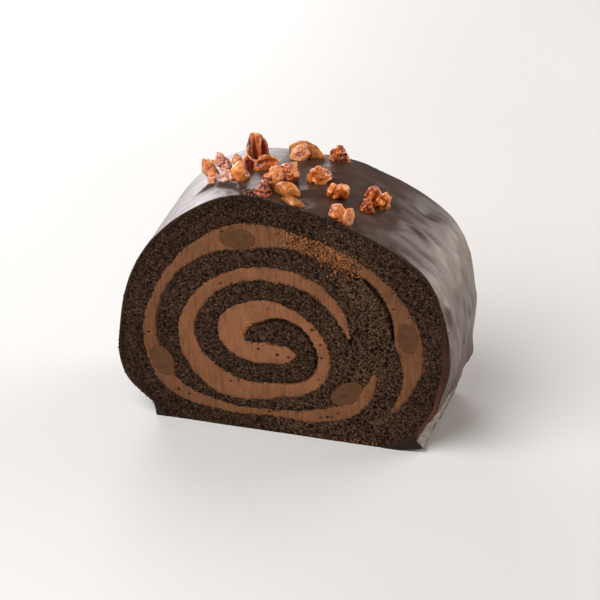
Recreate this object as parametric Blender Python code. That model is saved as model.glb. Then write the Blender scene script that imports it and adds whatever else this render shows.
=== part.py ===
"""A slice of chocolate roll cake under a dark chocolate glaze, with caramel nuts on top.

The cut face looks to -Y and the slice runs back along +Y. +Z is up. The origin is on the
surface that the slice stands on, under the middle of the slice.
"""

import math
import random

import bmesh
import bpy
import numpy as np
from mathutils import Matrix, Vector

MM = 0.001
HOUR = math.radians(30)
SHARP = math.radians(35)

# Driving sizes, all in millimetres
DEPTH = 35.0
GAP = 0.3
CUTTER_LONGER = 1.0

# The glaze is thin over the left side and the top. It is thickest on the right at one height.
GLAZE_THIN = 0.9
GLAZE_EXTRA_RIGHT = 1.3
GLAZE_RIGHT_FROM = 39.0
GLAZE_RIGHT_BLEND = 1.5
GLAZE_THICKEST_HEIGHT = 25.0
GLAZE_THICK_SPREAD = 14.0
GLAZE_STEP = 2.0

# The back of the slice is a little fuller than the cut face, and its top is pressed flatter
BACK_WIDER = 0.016
BACK_TALLER = 0.018
BACK_LEFTWARD = 1.4
BULGE = 3.4
BULGE_HEIGHT = 8.0
BULGE_SPREAD = 9.0
BULGE_SIDE = 4.0
DIP = 2.6
DIP_PLACE = -6.0
DIP_SPREAD = 13.0
TOP = 66.9
ROOF_FROM = 27.0

# The glaze's outer edge on the cut face, from the left ankle over the top to the right ankle
ARCH = (
    (-34.5, 3.8), (-37.9, 6.6), (-41.5, 10.5), (-43.3, 16.2), (-42.6, 26.7), (-40.5, 36.7),
    (-36.6, 45.8), (-30.7, 53.7), (-22.0, 61.0), (-12.4, 65.8), (-5.3, 66.9), (2.9, 65.4),
    (12.4, 63.5), (21.9, 60.0), (31.5, 55.4), (39.1, 49.2), (43.3, 41.2), (45.0, 31.8),
    (45.3, 23.4), (43.8, 17.3), (42.5, 12.6), (39.7, 8.2), (37.7, 5.1),
)
# Where the glaze has run down and set in a foot on each side
LEFT_FOOT_OUTSIDE = ((-33.8, 0.0), (-34.0, 1.8))
LEFT_FOOT_INSIDE = ((-30.0, 0.0), (-31.6, 1.6))
RIGHT_FOOT_OUTSIDE = ((37.4, 3.6), (39.4, 1.4), (34.5, 0.2), (33.0, 0.0))
RIGHT_FOOT_INSIDE = ((34.2, 3.6), (31.2, 1.9), (28.0, 0.0))

# The filling winds outward round the eye. Each row of a band is a clock hour as seen from the
# front, the distance from the eye to the middle of the band there, and the band's thickness.
EYE = (-1.0, 28.2)
BAND_STEP = 1.6
INNER_BAND = (
    (4.1, 6.0, 3.6), (5.0, 5.6, 5.2), (6.0, 5.1, 5.4), (7.5, 6.8, 7.8), (8.0, 8.5, 7.6),
    (8.4, 10.3, 6.6), (8.8, 11.0, 7.1), (9.3, 10.7, 7.6), (9.7, 10.0, 7.6), (10.5, 8.2, 6.8),
    (12.0, 7.4, 5.0), (13.5, 8.5, 3.3), (15.0, 12.3, 3.8), (15.7, 14.7, 3.7), (16.3, 16.0, 3.4),
    (18.0, 15.9, 4.3), (19.5, 20.8, 6.9), (21.0, 23.1, 4.2), (21.7, 21.2, 3.7), (22.5, 19.3, 3.4),
    (24.0, 17.4, 3.7), (25.5, 19.0, 3.4), (26.3, 19.8, 2.4), (26.8, 20.4, 0.8),
)
OUTER_BAND = (
    (3.5, 28.2, 1.2), (3.75, 28.3, 2.4), (4.2, 28.1, 3.7), (5.0, 24.8, 3.8), (6.0, 22.5, 1.5),
    (7.0, 26.1, 2.6), (8.0, 33.2, 4.7), (8.6, 33.8, 3.9), (9.5, 31.7, 2.5), (10.5, 29.5, 3.6),
    (11.5, 28.2, 6.6), (12.0, 27.8, 5.6), (12.4, 28.0, 4.1), (13.0, 29.0, 4.3), (14.0, 34.1, 3.0),
    (14.45, 35.4, 5.0), (14.9, 35.9, 6.9), (15.15, 36.9, 5.4), (15.4, 37.1, 3.6), (15.65, 36.8, 2.2),
    (15.95, 36.1, 0.9),
)
BAND_LEAST = 0.5
BAND_TIP_SHARE = 0.5
BAND_SAMPLES = 500

# Soft ganache pieces rolled into the cream: place on the cut face, half sizes, lean in degrees
GANACHE = (
    (-9.6, 54.6, 4.5, 2.5, 4.0),
    (-31.1, 16.9, 4.3, 2.9, 112.0),
    (18.9, 14.5, 4.7, 2.5, 38.0),
    (34.4, 32.6, 4.0, 2.5, 96.0),
)
GANACHE_SIDES = 28

# Caramel nut pieces: place across and back, length, width, height, heading in degrees
NUTS = (
    (-24.3, 6.6, 3.9, 3.6, 4.8, 20), (-20.5, 6.2, 3.0, 3.2, 4.6, 70), (-19.6, -4.3, 4.8, 2.6, 2.8, 35),
    (-14.6, -7.9, 3.0, 3.2, 4.4, 80), (-12.2, -6.1, 4.7, 4.0, 4.4, 15), (-17.0, 6.4, 2.6, 2.6, 3.0, 0),
    (-12.6, 2.2, 4.3, 3.4, 3.4, 20), (-12.8, 11.0, 7.0, 5.0, 6.4, 10), (-8.2, 2.6, 7.4, 3.0, 3.4, 38),
    (-0.9, -3.0, 6.0, 4.8, 5.6, 10), (-2.8, -5.9, 4.6, 4.2, 4.0, 60), (1.5, -11.6, 7.4, 4.6, 3.4, -8),
    (4.4, -15.7, 6.6, 3.0, 1.5, -4), (-3.4, -15.2, 4.0, 3.6, 3.4, 30), (-3.5, -12.0, 3.2, 3.2, 4.4, 0),
    (-1.3, 15.0, 10.8, 3.8, 3.9, -6), (-2.0, 12.0, 5.2, 3.2, 3.4, 25), (7.8, 15.2, 5.4, 3.6, 4.0, 5),
    (6.6, 0.2, 7.6, 3.6, 4.2, 42), (13.5, -4.9, 4.2, 4.0, 3.9, 30), (11.4, -5.0, 2.8, 3.0, 2.8, 0),
    (20.1, -0.6, 3.8, 3.2, 5.2, 0), (22.8, -1.0, 4.2, 3.4, 4.6, 60), (20.6, -5.4, 3.8, 3.4, 3.0, 10),
    (15.3, -15.2, 3.8, 3.8, 3.4, 10), (17.7, -14.8, 3.6, 3.4, 3.4, -20),
)
NUT_SINK = 0.5
NUT_JITTER = 0.12
NUT_CHOPS = 5
NUT_CHOP_REACH = (0.32, 0.42)
NUT_FLOOR = -0.36
NUT_SEED = 11

# Colour, roughness and metallic value of each material
FINISHES = {
    "sponge": ((0.035, 0.0175, 0.011), 0.95, 0.0),
    "cream": ((0.190, 0.074, 0.029), 0.65, 0.0),
    "ganache": ((0.093, 0.040, 0.017), 0.60, 0.0),
    "glaze": ((0.046, 0.021, 0.012), 0.40, 0.0),
}


def clear_scene():
    for old in list(bpy.data.objects):
        bpy.data.objects.remove(old)


def material(name):
    colour, roughness, metallic = FINISHES[name]
    made = bpy.data.materials.new(name)
    made.use_nodes = True
    shader = made.node_tree.nodes["Principled BSDF"]
    shader.inputs["Base Color"].default_value = (*colour, 1.0)
    shader.inputs["Roughness"].default_value = roughness
    shader.inputs["Metallic"].default_value = metallic
    made.diffuse_color = (*colour, 1.0)
    return made


def eased(places, values, wanted):
    """Reads a smooth curve through the values given at the places."""
    places, values = np.array(places, float), np.array(values, float)
    slopes = np.gradient(values, places)
    before = np.clip(np.searchsorted(places, wanted, side="right") - 1, 0, len(places) - 2)
    span = places[before + 1] - places[before]
    part = (wanted - places[before]) / span
    rise = values[before + 1] - values[before]
    bend_in = slopes[before] * span - rise
    bend_out = rise - slopes[before + 1] * span
    return values[before] + part * rise + part * (1 - part) * (bend_in * (1 - part) + bend_out * part)


def smooth_line(points, step):
    """Points about a step apart along a smooth curve through the given ones."""
    points = np.array(points, float)
    along = np.concatenate([[0], np.cumsum(np.linalg.norm(np.diff(points, axis=0), axis=1))])
    wanted = np.linspace(0, along[-1], round(along[-1] / step) + 1)
    return np.stack([eased(along, points[:, axis], wanted) for axis in (0, 1)], axis=1)


def moved_in(line, distance):
    """The line moved to its right-hand side, which is the inside of an arch drawn left to right."""
    along = np.gradient(line, axis=0)
    along /= np.linalg.norm(along, axis=1)[:, None]
    inward = np.stack([along[:, 1], -along[:, 0]], axis=1)
    return line + inward * np.reshape(distance, (-1, 1))


def glaze_thickness(line):
    """Thin over the left side and the top, and thicker where it ran down the right side."""
    across, up = line[:, 0], line[:, 1]
    right = 1 / (1 + np.exp(-(across - GLAZE_RIGHT_FROM) / GLAZE_RIGHT_BLEND))
    run_down = np.exp(-(((up - GLAZE_THICKEST_HEIGHT) / GLAZE_THICK_SPREAD) ** 2))
    return GLAZE_THIN + GLAZE_EXTRA_RIGHT * right * run_down


def glaze_lines():
    """The glaze's outside and inside on the cut face, each from left to right."""
    arch = smooth_line(ARCH, GLAZE_STEP)
    inner_arch = moved_in(arch, glaze_thickness(arch))
    outside = np.concatenate([LEFT_FOOT_OUTSIDE, arch, RIGHT_FOOT_OUTSIDE])
    inside = np.concatenate([LEFT_FOOT_INSIDE, inner_arch, RIGHT_FOOT_INSIDE])
    return outside, inside


def sponge_outline():
    line = moved_in(glaze_lines()[1], GAP)
    line[0, 1] = 0.0
    line[-1, 1] = 0.0
    return line


def band_outline(band, grown=0.0):
    """A band of filling as a closed outline that narrows at both ends."""
    hours, middles, thicknesses = np.array(band).T
    fine = np.linspace(hours[0], hours[-1], BAND_SAMPLES)
    course = np.array([from_eye(hour, far) for hour, far in zip(fine, eased(hours, middles, fine))])
    along = np.concatenate([[0], np.cumsum(np.linalg.norm(np.diff(course, axis=0), axis=1))])
    wanted = np.interp(np.linspace(0, along[-1], round(along[-1] / BAND_STEP) + 1), along, fine)
    middle = eased(hours, middles, wanted)
    half = np.maximum(eased(hours, thicknesses, wanted), BAND_LEAST) / 2
    half[[0, -1]] *= BAND_TIP_SHARE
    half += grown
    first_reach, last_reach = grown / middle[[0, -1]] / HOUR
    wanted[[0, -1]] += (-first_reach, last_reach)
    outer = [from_eye(hour, far) for hour, far in zip(wanted, middle + half)]
    inner = [from_eye(hour, near) for hour, near in zip(wanted, middle - half)]
    return np.array(outer + inner[::-1])


def from_eye(hour, distance):
    turn = math.pi / 2 - HOUR * hour
    return (EYE[0] + distance * math.cos(turn), EYE[1] + distance * math.sin(turn))


def ganache_outline(across, up, long, short, lean, grown=0.0):
    lean = math.radians(lean)
    turns = np.linspace(0, 2 * math.pi, GANACHE_SIDES, endpoint=False)
    along, aside = (long + grown) * np.cos(turns), (short + grown) * np.sin(turns)
    return np.stack(
        [
            across + along * math.cos(lean) - aside * math.sin(lean),
            up + along * math.sin(lean) + aside * math.cos(lean),
        ],
        axis=1,
    )


def fuller(point):
    """Swells or flattens a point's place a little, the more the nearer it is to the back."""
    across, back, up = point
    share = back / DEPTH + 0.5
    bulge = BULGE * math.exp(-(((up - BULGE_HEIGHT) / BULGE_SPREAD) ** 2))
    bulge /= 1 + math.exp(-across / BULGE_SIDE)
    dip = DIP * math.exp(-(((across - DIP_PLACE) / DIP_SPREAD) ** 2)) * up / TOP
    return Vector(
        (
            across * (1 + BACK_WIDER * share) + (bulge - BACK_LEFTWARD) * share,
            back,
            up * (1 + BACK_TALLER * share) - dip * share,
        )
    )


def prism(name, outline, finish=None, longer=0.0):
    """A closed solid with the outline as its front and back, standing on its bottom edge."""
    shape = bmesh.new()
    front = [shape.verts.new((across, -DEPTH / 2 - longer, up)) for across, up in outline]
    face = shape.faces.new(front)
    grown = bmesh.ops.extrude_face_region(shape, geom=[face])["geom"]
    ends = [vert for vert in grown if isinstance(vert, bmesh.types.BMVert)]
    bmesh.ops.translate(shape, verts=ends, vec=(0, DEPTH + 2 * longer, 0))
    bmesh.ops.recalc_face_normals(shape, faces=shape.faces)
    mesh = bpy.data.meshes.new(name)
    shape.to_mesh(mesh)
    shape.free()
    solid = bpy.data.objects.new(name, mesh)
    bpy.context.collection.objects.link(solid)
    if finish:
        mesh.materials.append(finish)
    return solid


def collected(name, solids):
    """A collection that holds helper solids, none of which is a piece of the cake."""
    group = bpy.data.collections.new(name)
    bpy.context.scene.collection.children.link(group)
    for solid in solids:
        bpy.context.collection.objects.unlink(solid)
        group.objects.link(solid)
        solid.hide_render = True
        solid.display_type = "WIRE"
    return group


def joined_with(solid, operation, helpers):
    """Cuts the helpers from the solid or fuses them to it, and removes them."""
    group = collected(solid.name + "_helpers", helpers)
    change = solid.modifiers.new(operation.title(), "BOOLEAN")
    change.operation = operation
    change.operand_type = "COLLECTION"
    change.collection = group
    change.solver = "EXACT"
    bpy.context.view_layer.update()
    graph = bpy.context.evaluated_depsgraph_get()
    result = bpy.data.meshes.new_from_object(solid.evaluated_get(graph))
    solid.modifiers.clear()
    solid.data = result
    for helper in helpers:
        bpy.data.objects.remove(helper)
    bpy.data.collections.remove(group)


def shaped(solid):
    """Gives the solid its fuller back and turns its millimetres into metres."""
    for vert in solid.data.vertices:
        vert.co = fuller(vert.co) * MM
    solid.data.shade_smooth()
    solid.data.set_sharp_from_angle(angle=SHARP)


def roof(across, back):
    """The height of the glaze's top over a place, in millimetres."""
    top = [fuller((x, back, z)) for x, z in smooth_line(ARCH, GLAZE_STEP) if z > ROOF_FROM]
    return float(np.interp(across, [point.x for point in top], [point.z for point in top]))


def chopped_lump(draw):
    """A lump with flat chopped sides that just fills a box of size 1, its floor at height 0."""
    shape = bmesh.new()
    bmesh.ops.create_icosphere(shape, subdivisions=2, radius=0.5)
    for vert in shape.verts:
        vert.co *= 1 + draw.uniform(-NUT_JITTER, NUT_JITTER)
    for _ in range(NUT_CHOPS):
        side = Vector((draw.uniform(-1, 1), draw.uniform(-1, 1), draw.uniform(-0.2, 1))).normalized()
        reach = draw.uniform(*NUT_CHOP_REACH)
        for vert in shape.verts:
            vert.co -= side * max(0.0, vert.co.dot(side) - reach)
    for vert in shape.verts:
        vert.co.z = max(vert.co.z, NUT_FLOOR)
    places = np.array([vert.co for vert in shape.verts])
    low, high = places.min(axis=0), places.max(axis=0)
    middle = (low + high) / 2
    bmesh.ops.translate(shape, verts=shape.verts, vec=(-middle[0], -middle[1], -low[2]))
    bmesh.ops.scale(shape, verts=shape.verts, vec=Vector(1 / (high - low)))
    return shape


def nut(number, across, back, long, wide, high, heading):
    """A nut piece on the glaze, sunk in a little and leaning with the glaze's slope."""
    shape = chopped_lump(random.Random(NUT_SEED + number))
    bmesh.ops.scale(shape, verts=shape.verts, vec=(long, wide, high + NUT_SINK))
    bmesh.ops.translate(shape, verts=shape.verts, vec=(0, 0, -NUT_SINK))
    slope = math.atan((roof(across + 1, back) - roof(across - 1, back)) / 2)
    seat = Matrix.Translation((across, back, roof(across, back)))
    seat @= Matrix.Rotation(-slope, 4, "Y") @ Matrix.Rotation(math.radians(heading), 4, "Z")
    bmesh.ops.transform(shape, matrix=seat, verts=shape.verts)
    bmesh.ops.scale(shape, vec=(MM, MM, MM), verts=shape.verts)
    mesh = bpy.data.meshes.new(f"nut_{number}")
    shape.to_mesh(mesh)
    shape.free()
    solid = bpy.data.objects.new(mesh.name, mesh)
    bpy.context.collection.objects.link(solid)
    return solid


def make_sponge():
    sponge = prism("sponge", sponge_outline(), material("sponge"))
    bands = [
        prism("slot", band_outline(band, GAP), longer=CUTTER_LONGER) for band in (INNER_BAND, OUTER_BAND)
    ]
    holes = [prism("hole", ganache_outline(*piece, GAP), longer=CUTTER_LONGER) for piece in GANACHE]
    joined_with(sponge, "DIFFERENCE", bands + holes)
    shaped(sponge)


def make_cream():
    cream = material("cream")
    shaped(prism("cream_inner", band_outline(INNER_BAND), cream))
    outer = prism("cream_outer", band_outline(OUTER_BAND), cream)
    holes = [prism("hole", ganache_outline(*piece, GAP), longer=CUTTER_LONGER) for piece in GANACHE]
    joined_with(outer, "DIFFERENCE", holes)
    shaped(outer)


def make_ganache():
    finish = material("ganache")
    for number, piece in enumerate(GANACHE, 1):
        shaped(prism(f"ganache_{number}", ganache_outline(*piece), finish))


def make_glaze():
    outside, inside = glaze_lines()
    glaze = prism("glaze", np.concatenate([outside, inside[::-1]]), material("glaze"))
    shaped(glaze)
    joined_with(glaze, "UNION", [nut(number, *piece) for number, piece in enumerate(NUTS)])


clear_scene()
make_sponge()
make_cream()
make_ganache()
make_glaze()
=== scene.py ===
"""A cut slice of chocolate roll cake, dressed: open crumb, cream, ganache, glaze and caramel nuts.

Shapes are worked out in millimetres in the cake's own frame and then turned into metres. The
cut face looks to -Y, the slice runs back along +Y, and +Z is up.
"""

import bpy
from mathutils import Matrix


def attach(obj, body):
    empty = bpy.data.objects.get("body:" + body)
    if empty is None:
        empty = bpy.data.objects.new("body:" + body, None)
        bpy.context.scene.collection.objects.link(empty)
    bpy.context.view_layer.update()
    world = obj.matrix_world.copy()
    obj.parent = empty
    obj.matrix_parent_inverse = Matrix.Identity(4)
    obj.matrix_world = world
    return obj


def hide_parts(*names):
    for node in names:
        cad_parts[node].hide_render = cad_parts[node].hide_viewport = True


bl_info = {
    "name": "Chocolate Roll Cake Slice",
    "version": (1, 0, 0),
    "blender": (4, 5, 0),
    "location": "View3D > Sidebar > Roll Cake",
    "description": "Dresses a slice of chocolate roll cake with crumb, cream, glaze and nuts",
    "category": "Object",
}

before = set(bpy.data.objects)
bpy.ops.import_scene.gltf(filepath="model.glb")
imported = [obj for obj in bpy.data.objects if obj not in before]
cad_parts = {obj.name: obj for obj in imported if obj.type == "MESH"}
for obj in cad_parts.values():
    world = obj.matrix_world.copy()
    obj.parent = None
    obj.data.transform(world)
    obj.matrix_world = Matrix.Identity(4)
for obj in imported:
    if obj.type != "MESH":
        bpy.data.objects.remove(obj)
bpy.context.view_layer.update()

import functools
import itertools
import math
import random

import bmesh
import bpy
import numpy as np
from bpy.props import FloatProperty, FloatVectorProperty, IntProperty, PointerProperty
from bpy.types import Operator, Panel, PropertyGroup
from mathutils import Matrix, Vector
from mathutils.geometry import delaunay_2d_cdt
from mathutils.kdtree import KDTree

MM = 0.001
HOUR = math.radians(30)
BODY = "root"

# Sizes of the cake's solids, which every dressed piece follows, in millimetres
DEPTH = 35.0
FRONT = -DEPTH / 2
BACK = DEPTH / 2
SEAM = 0.15
GLAZE_THIN = 0.9
GLAZE_EXTRA_RIGHT = 1.3
GLAZE_RIGHT_FROM = 39.0
GLAZE_RIGHT_BLEND = 1.5
GLAZE_THICKEST_HEIGHT = 25.0
GLAZE_THICK_SPREAD = 14.0
BACK_WIDER = 0.016
BACK_TALLER = 0.018
BACK_LEFTWARD = 1.4
BULGE = 3.4
BULGE_HEIGHT = 8.0
BULGE_SPREAD = 9.0
BULGE_SIDE = 4.0
DIP = 2.6
DIP_PLACE = -6.0
DIP_SPREAD = 13.0
TOP = 66.9
ROOF_FROM = 27.0
ROOF_STEP = 2.0

# The glaze's outer edge on the cut face, from the left ankle over the top to the right ankle
ARCH = (
    (-34.5, 3.8), (-37.9, 6.6), (-41.5, 10.5), (-43.3, 16.2), (-42.6, 26.7), (-40.5, 36.7),
    (-36.6, 45.8), (-30.7, 53.7), (-22.0, 61.0), (-12.4, 65.8), (-5.3, 66.9), (2.9, 65.4),
    (12.4, 63.5), (21.9, 60.0), (31.5, 55.4), (39.1, 49.2), (43.3, 41.2), (45.0, 31.8),
    (45.3, 23.4), (43.8, 17.3), (42.5, 12.6), (39.7, 8.2), (37.7, 5.1),
)
LEFT_FOOT_OUTSIDE = ((-33.8, 0.0), (-34.0, 1.8))
LEFT_FOOT_INSIDE = ((-30.0, 0.0), (-31.6, 1.6))
RIGHT_FOOT_OUTSIDE = ((37.4, 3.6), (39.4, 1.4), (34.5, 0.2), (33.0, 0.0))
RIGHT_FOOT_INSIDE = ((34.2, 3.6), (31.2, 1.9), (28.0, 0.0))

# The filling winds outward round the eye. Each row of a band is a clock hour as seen from the
# front, the distance from the eye to the middle of the band there, and the band's thickness.
EYE = (-1.0, 28.2)
INNER_BAND = (
    (4.1, 6.0, 3.6), (5.0, 5.6, 5.2), (6.0, 5.1, 5.4), (7.5, 6.8, 7.8), (8.0, 8.5, 7.6),
    (8.4, 10.3, 6.6), (8.8, 11.0, 7.1), (9.3, 10.7, 7.6), (9.7, 10.0, 7.6), (10.5, 8.2, 6.8),
    (12.0, 7.4, 5.0), (13.5, 8.5, 3.3), (15.0, 12.3, 3.8), (15.7, 14.7, 3.7), (16.3, 16.0, 3.4),
    (18.0, 15.9, 4.3), (19.5, 20.8, 6.9), (21.0, 23.1, 4.2), (21.7, 21.2, 3.7), (22.5, 19.3, 3.4),
    (24.0, 17.4, 3.7), (25.5, 19.0, 3.4), (26.3, 19.8, 2.4), (26.8, 20.4, 0.8),
)
OUTER_BAND = (
    (3.5, 28.2, 1.2), (3.75, 28.3, 2.4), (4.2, 28.1, 3.7), (5.0, 24.8, 3.8), (6.0, 22.5, 1.5),
    (7.0, 26.1, 2.6), (8.0, 33.2, 4.7), (8.6, 33.8, 3.9), (9.5, 31.7, 2.5), (10.5, 29.5, 3.6),
    (11.5, 28.2, 6.6), (12.0, 27.8, 5.6), (12.4, 28.0, 4.1), (13.0, 29.0, 4.3), (14.0, 34.1, 3.0),
    (14.45, 35.4, 5.0), (14.9, 35.9, 6.9), (15.15, 36.9, 5.4), (15.4, 37.1, 3.6), (15.65, 36.8, 2.2),
    (15.95, 36.1, 0.9),
)
BAND_LEAST = 0.5
BAND_TIP_SHARE = 0.5
BAND_SAMPLES = 500

# Soft ganache pieces rolled into the cream: place on the cut face, half sizes, lean in degrees
GANACHE = (
    (-9.6, 54.6, 4.5, 2.5, 4.0),
    (-31.1, 16.9, 4.3, 2.9, 112.0),
    (18.9, 14.5, 4.7, 2.5, 38.0),
    (34.4, 32.6, 4.0, 2.5, 96.0),
)

# Caramel nut pieces: place across and back, length, width, height, heading in degrees, kind,
# and how pale the piece is, from 0 for dark roasted skin to 1 for a bare cut kernel
NUTS = (
    (-24.3, 6.6, 3.9, 3.6, 4.8, 20, "kernel", 0.70), (-20.5, 6.2, 3.0, 3.2, 4.6, 70, "crystal", 0.15),
    (-19.6, -4.3, 4.8, 2.6, 2.8, 35, "skin", 0.60), (-14.6, -7.9, 3.0, 3.2, 4.4, 80, "crystal", 0.75),
    (-12.2, -6.1, 4.7, 4.0, 4.4, 15, "kernel", 0.75), (-17.0, 6.4, 2.6, 2.6, 3.0, 0, "kernel", 0.70),
    (-12.6, 2.2, 4.3, 3.4, 3.4, 20, "shard", 0.10), (-12.8, 11.0, 7.0, 5.0, 6.4, 10, "shard", 0.18),
    (-8.2, 2.6, 7.4, 3.0, 3.4, 38, "skin", 0.42), (-0.9, -3.0, 6.0, 4.8, 5.6, 10, "crystal", 0.45),
    (-2.8, -5.9, 4.6, 4.2, 4.0, 60, "kernel", 0.72), (1.5, -11.6, 7.4, 4.6, 3.4, -8, "almond", 0.70),
    (4.4, -15.7, 6.6, 3.0, 1.5, -4, "almond", 0.42), (-3.4, -15.2, 4.0, 3.6, 3.4, 30, "skin", 0.22),
    (-3.5, -12.0, 3.2, 3.2, 4.4, 0, "skin", 0.24), (-1.3, 15.0, 10.8, 3.8, 3.9, -6, "almond", 0.62),
    (-2.0, 12.0, 5.2, 3.2, 3.4, 25, "kernel", 0.85), (7.8, 15.2, 5.4, 3.6, 4.0, 5, "crystal", 0.25),
    (6.6, 0.2, 7.6, 3.6, 4.2, 42, "skin", 0.58), (13.5, -4.9, 4.2, 4.0, 3.9, 30, "kernel", 0.50),
    (11.4, -5.0, 2.8, 3.0, 2.8, 0, "kernel", 0.62), (20.1, -0.6, 3.8, 3.2, 5.2, 0, "crystal", 0.42),
    (22.8, -1.0, 4.2, 3.4, 4.6, 60, "crystal", 0.50), (20.6, -5.4, 3.8, 3.4, 3.0, 10, "crystal", 0.40),
    (15.3, -15.2, 3.8, 3.8, 3.4, 10, "kernel", 0.60), (17.7, -14.8, 3.6, 3.4, 3.4, -20, "kernel", 0.52),
)
NUT_SINK = 0.5
NUT_JITTER = 0.12
NUT_CHOPS = 5
NUT_CHOP_REACH = (0.32, 0.42)
NUT_FLOOR = -0.36
NUT_SEED = 11

# How finely a nut piece is meshed, and how its top narrows
NUT_CUTS = 8
NUT_ROUNDING = 2
NUT_EDGE = math.radians(33)
NUT_KINDS = ("kernel", "almond", "skin", "shard", "crystal")
NUT_PINCH = {"kernel": 0.1, "almond": 0.0, "skin": 0.35, "shard": 0.30, "crystal": 0.15}
ALMOND_TAPER = 0.7
ALMOND_POINT = 2.5

# Flat cuts on a nut piece by its kind: how many, and how near to the middle they may come
NUT_FACETS = {
    "kernel": (5, 0.74), "almond": (2, 0.86), "skin": (4, 0.80), "shard": (3, 0.76), "crystal": (6, 0.72),
}
NUT_FACET_FARTHEST = 0.97
NUT_SKIN_TONE = -0.3
NUT_TONE_SPREAD = 0.26

# Relief of a nut piece by its kind: size and height of its ridges, then of the grain on them
NUT_RIDGES = {
    "kernel": ((2.0, 2.0, 2.0), 0.30, 0.9, 0.18),
    "skin": ((6.0, 1.1, 1.2), 0.38, 1.1, 0.12),
    "shard": ((1.2, 1.4, 9.0), 0.50, 1.3, 0.14),
}
ALMOND_WRINKLES = ((3.5, 0.6, 0.7), 0.07, 1.8, 0.08)
CRYSTAL_CHIPS = (1.5, 0.7)
CRYSTAL_HEIGHT = 0.85

# How much sugar sticks to a nut piece, by its number in the list
NUT_SUGAR = {
    0: 0.5, 1: 1.1, 2: 0.8, 3: 1.8, 5: 0.6, 9: 0.5, 10: 0.6,
    13: 0.0, 14: -0.4, 15: -0.5, 16: 0.7, 17: 0.4, 24: 0.4, 25: 0.5,
}
NUT_SUGAR_ELSEWHERE = -0.2
SUGAR_GRAINS = 90
SUGAR_SIZES = (0.15, 0.45)

# Marks that show on the cut face, as places across and up: a crack over the eye, the gap inside
# the outer cream on the right, the seams of the doubled sponge with a hole at its fold, a faint
# trail below the outer cream and a smear of crumbed cream at the top. The crack, the gap, the
# lower seam and the hole are darkened with painted shade.
EYE_CRACK_HOURS = (10.4, 17.6)
EYE_CRACK_SAMPLES = 60
RIGHT_GAP = (
    (23.7, 46.8), (26.0, 44.2), (27.7, 42.0), (29.0, 39.7), (30.0, 37.0), (30.5, 34.7), (30.8, 31.9),
)
UPPER_SEAM = ((16.5, 46.8), (18.5, 44.3), (20.1, 42.4))
LOWER_SEAM = ((16.2, 35.6), (18.3, 31.8), (19.7, 28.9))
SEAM_HOLE = (19.4, 30.4)
CREAM_TRAIL = ((30.8, 11.2), (29.8, 9.2), (28.2, 7.8), (26.1, 6.3))
SMEAR = ((5.2, 56.2), (8.3, 54.9), (13.2, 52.8), (16.5, 51.3), (19.6, 49.2))

# How wide and how deep those marks are
GAP_WIDTH = 0.35
GAP_DEPTH = 0.9
GAP_DEPTH_IN_CREAM = 0.8
CRACK_WIDTH = 0.42
CRACK_DEPTH = 0.7
CRACK_WIDTH_IN_CREAM = 0.28
CRACK_DEPTH_IN_CREAM = 0.4
SEAM_WIDTH = 0.5
UPPER_SEAM_DEPTH = 0.3
LOWER_SEAM_DEPTH = 0.6
HOLE_WIDTH = 0.8
HOLE_DEPTH = 1.8
TRAIL_WIDTH = 0.9
SMEAR_WIDTH = 3.0

# Small holes that the knife opened in the cream, darkened with painted shade, as places across and up and a
# radius
PITS = (
    (-34.6, 24.8, 0.42), (-35.4, 16.7, 0.3), (-27.0, 8.8, 0.5), (-24.0, 7.9, 0.35), (-12.4, 13.5, 0.4),
    (-10.1, 14.0, 0.3), (-4.7, 24.0, 0.35), (0.4, 23.0, 0.5), (3.3, 22.7, 0.4), (-2.1, 5.9, 0.4),
    (9.7, 31.5, 0.5), (12.0, 27.6, 0.35), (12.2, 23.8, 0.4), (11.9, 6.3, 0.35), (13.6, 6.6, 0.45),
    (14.8, 6.8, 0.35), (16.5, 8.2, 0.3), (30.9, 40.4, 0.35), (35.0, 35.9, 0.5),
)
PIT_DEPTH = 0.5

# Pores in the crumb and air holes in the cream: their spacing, their radii and the share of the
# places that have one
LARGE_PORES = (1.5, (0.22, 0.55), 0.42)
SMALL_PORES = (0.62, (0.14, 0.32), 0.75)
AIR_HOLES = (3.4, (0.2, 0.4), 0.12)

# The crumb is closest near the outside of the roll and opens along the fold on the right
FOLD = ((19, 50), (24, 36), (24, 22), (20, 12), (8, 5))
FOLD_WIDTH = 9.0
ROLL_MIDDLE = (0.5, 30.0)
ROLL_HALF = (44.0, 36.0)
OPEN_RIGHT_FROM = 22.0
OPEN_RIGHT_BLEND = 5.0

# How the cut face is meshed: regions of its net, how its points stray, and how wide its edges are
REGIONS = ("sponge", "cream_inner", "cream_outer", "ganache_1", "ganache_2", "ganache_3", "ganache_4")
GRID_JITTER = 0.25
EDGE_CLEAR = 0.45
EDGE_FADE = 0.5
EDGE_SINK = 0.10
MERGE = 1e-5
RAGGED_COARSE = 1.7
RAGGED_FINE = 0.45
FOOT_LEFT_RUN = 4.0
FOOT_RIGHT_RUN = 10.0

# The spatula's waves run round the roll on a bending, slanting course and are higher on the right
COURSE_BENDS = ((2.6, 19.0, 0.0), (1.4, 7.0, 1.0))
COURSE_STRAY = 0.9
GLAZE_SLANT = 0.35
BROAD_WAVES = (10.0, 5.0)
NARROW_WAVES = (5.0, 2.4)
FINE_STREAKS = (4.0, 1.1)
WAVES_RIGHT_FROM = 10.0
WAVES_RIGHT_BLEND = 6.0
QUIET_AT_BACK = 8.0

# A raised lobe of glaze runs beside the nuts near the cut face, as places across and back
FRONT_LOBE = (
    (-24.0, -7.0), (-21.0, -6.0), (-18.7, -4.6), (-15.6, -8.6), (-13.0, -10.6), (-10.2, -12.4),
)
LOBE_WIDTH = 1.3
LOBE_HEIGHT = 1.6
LOBE_FROM = -25.0
LOBE_RUN_IN = 7.0

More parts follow.
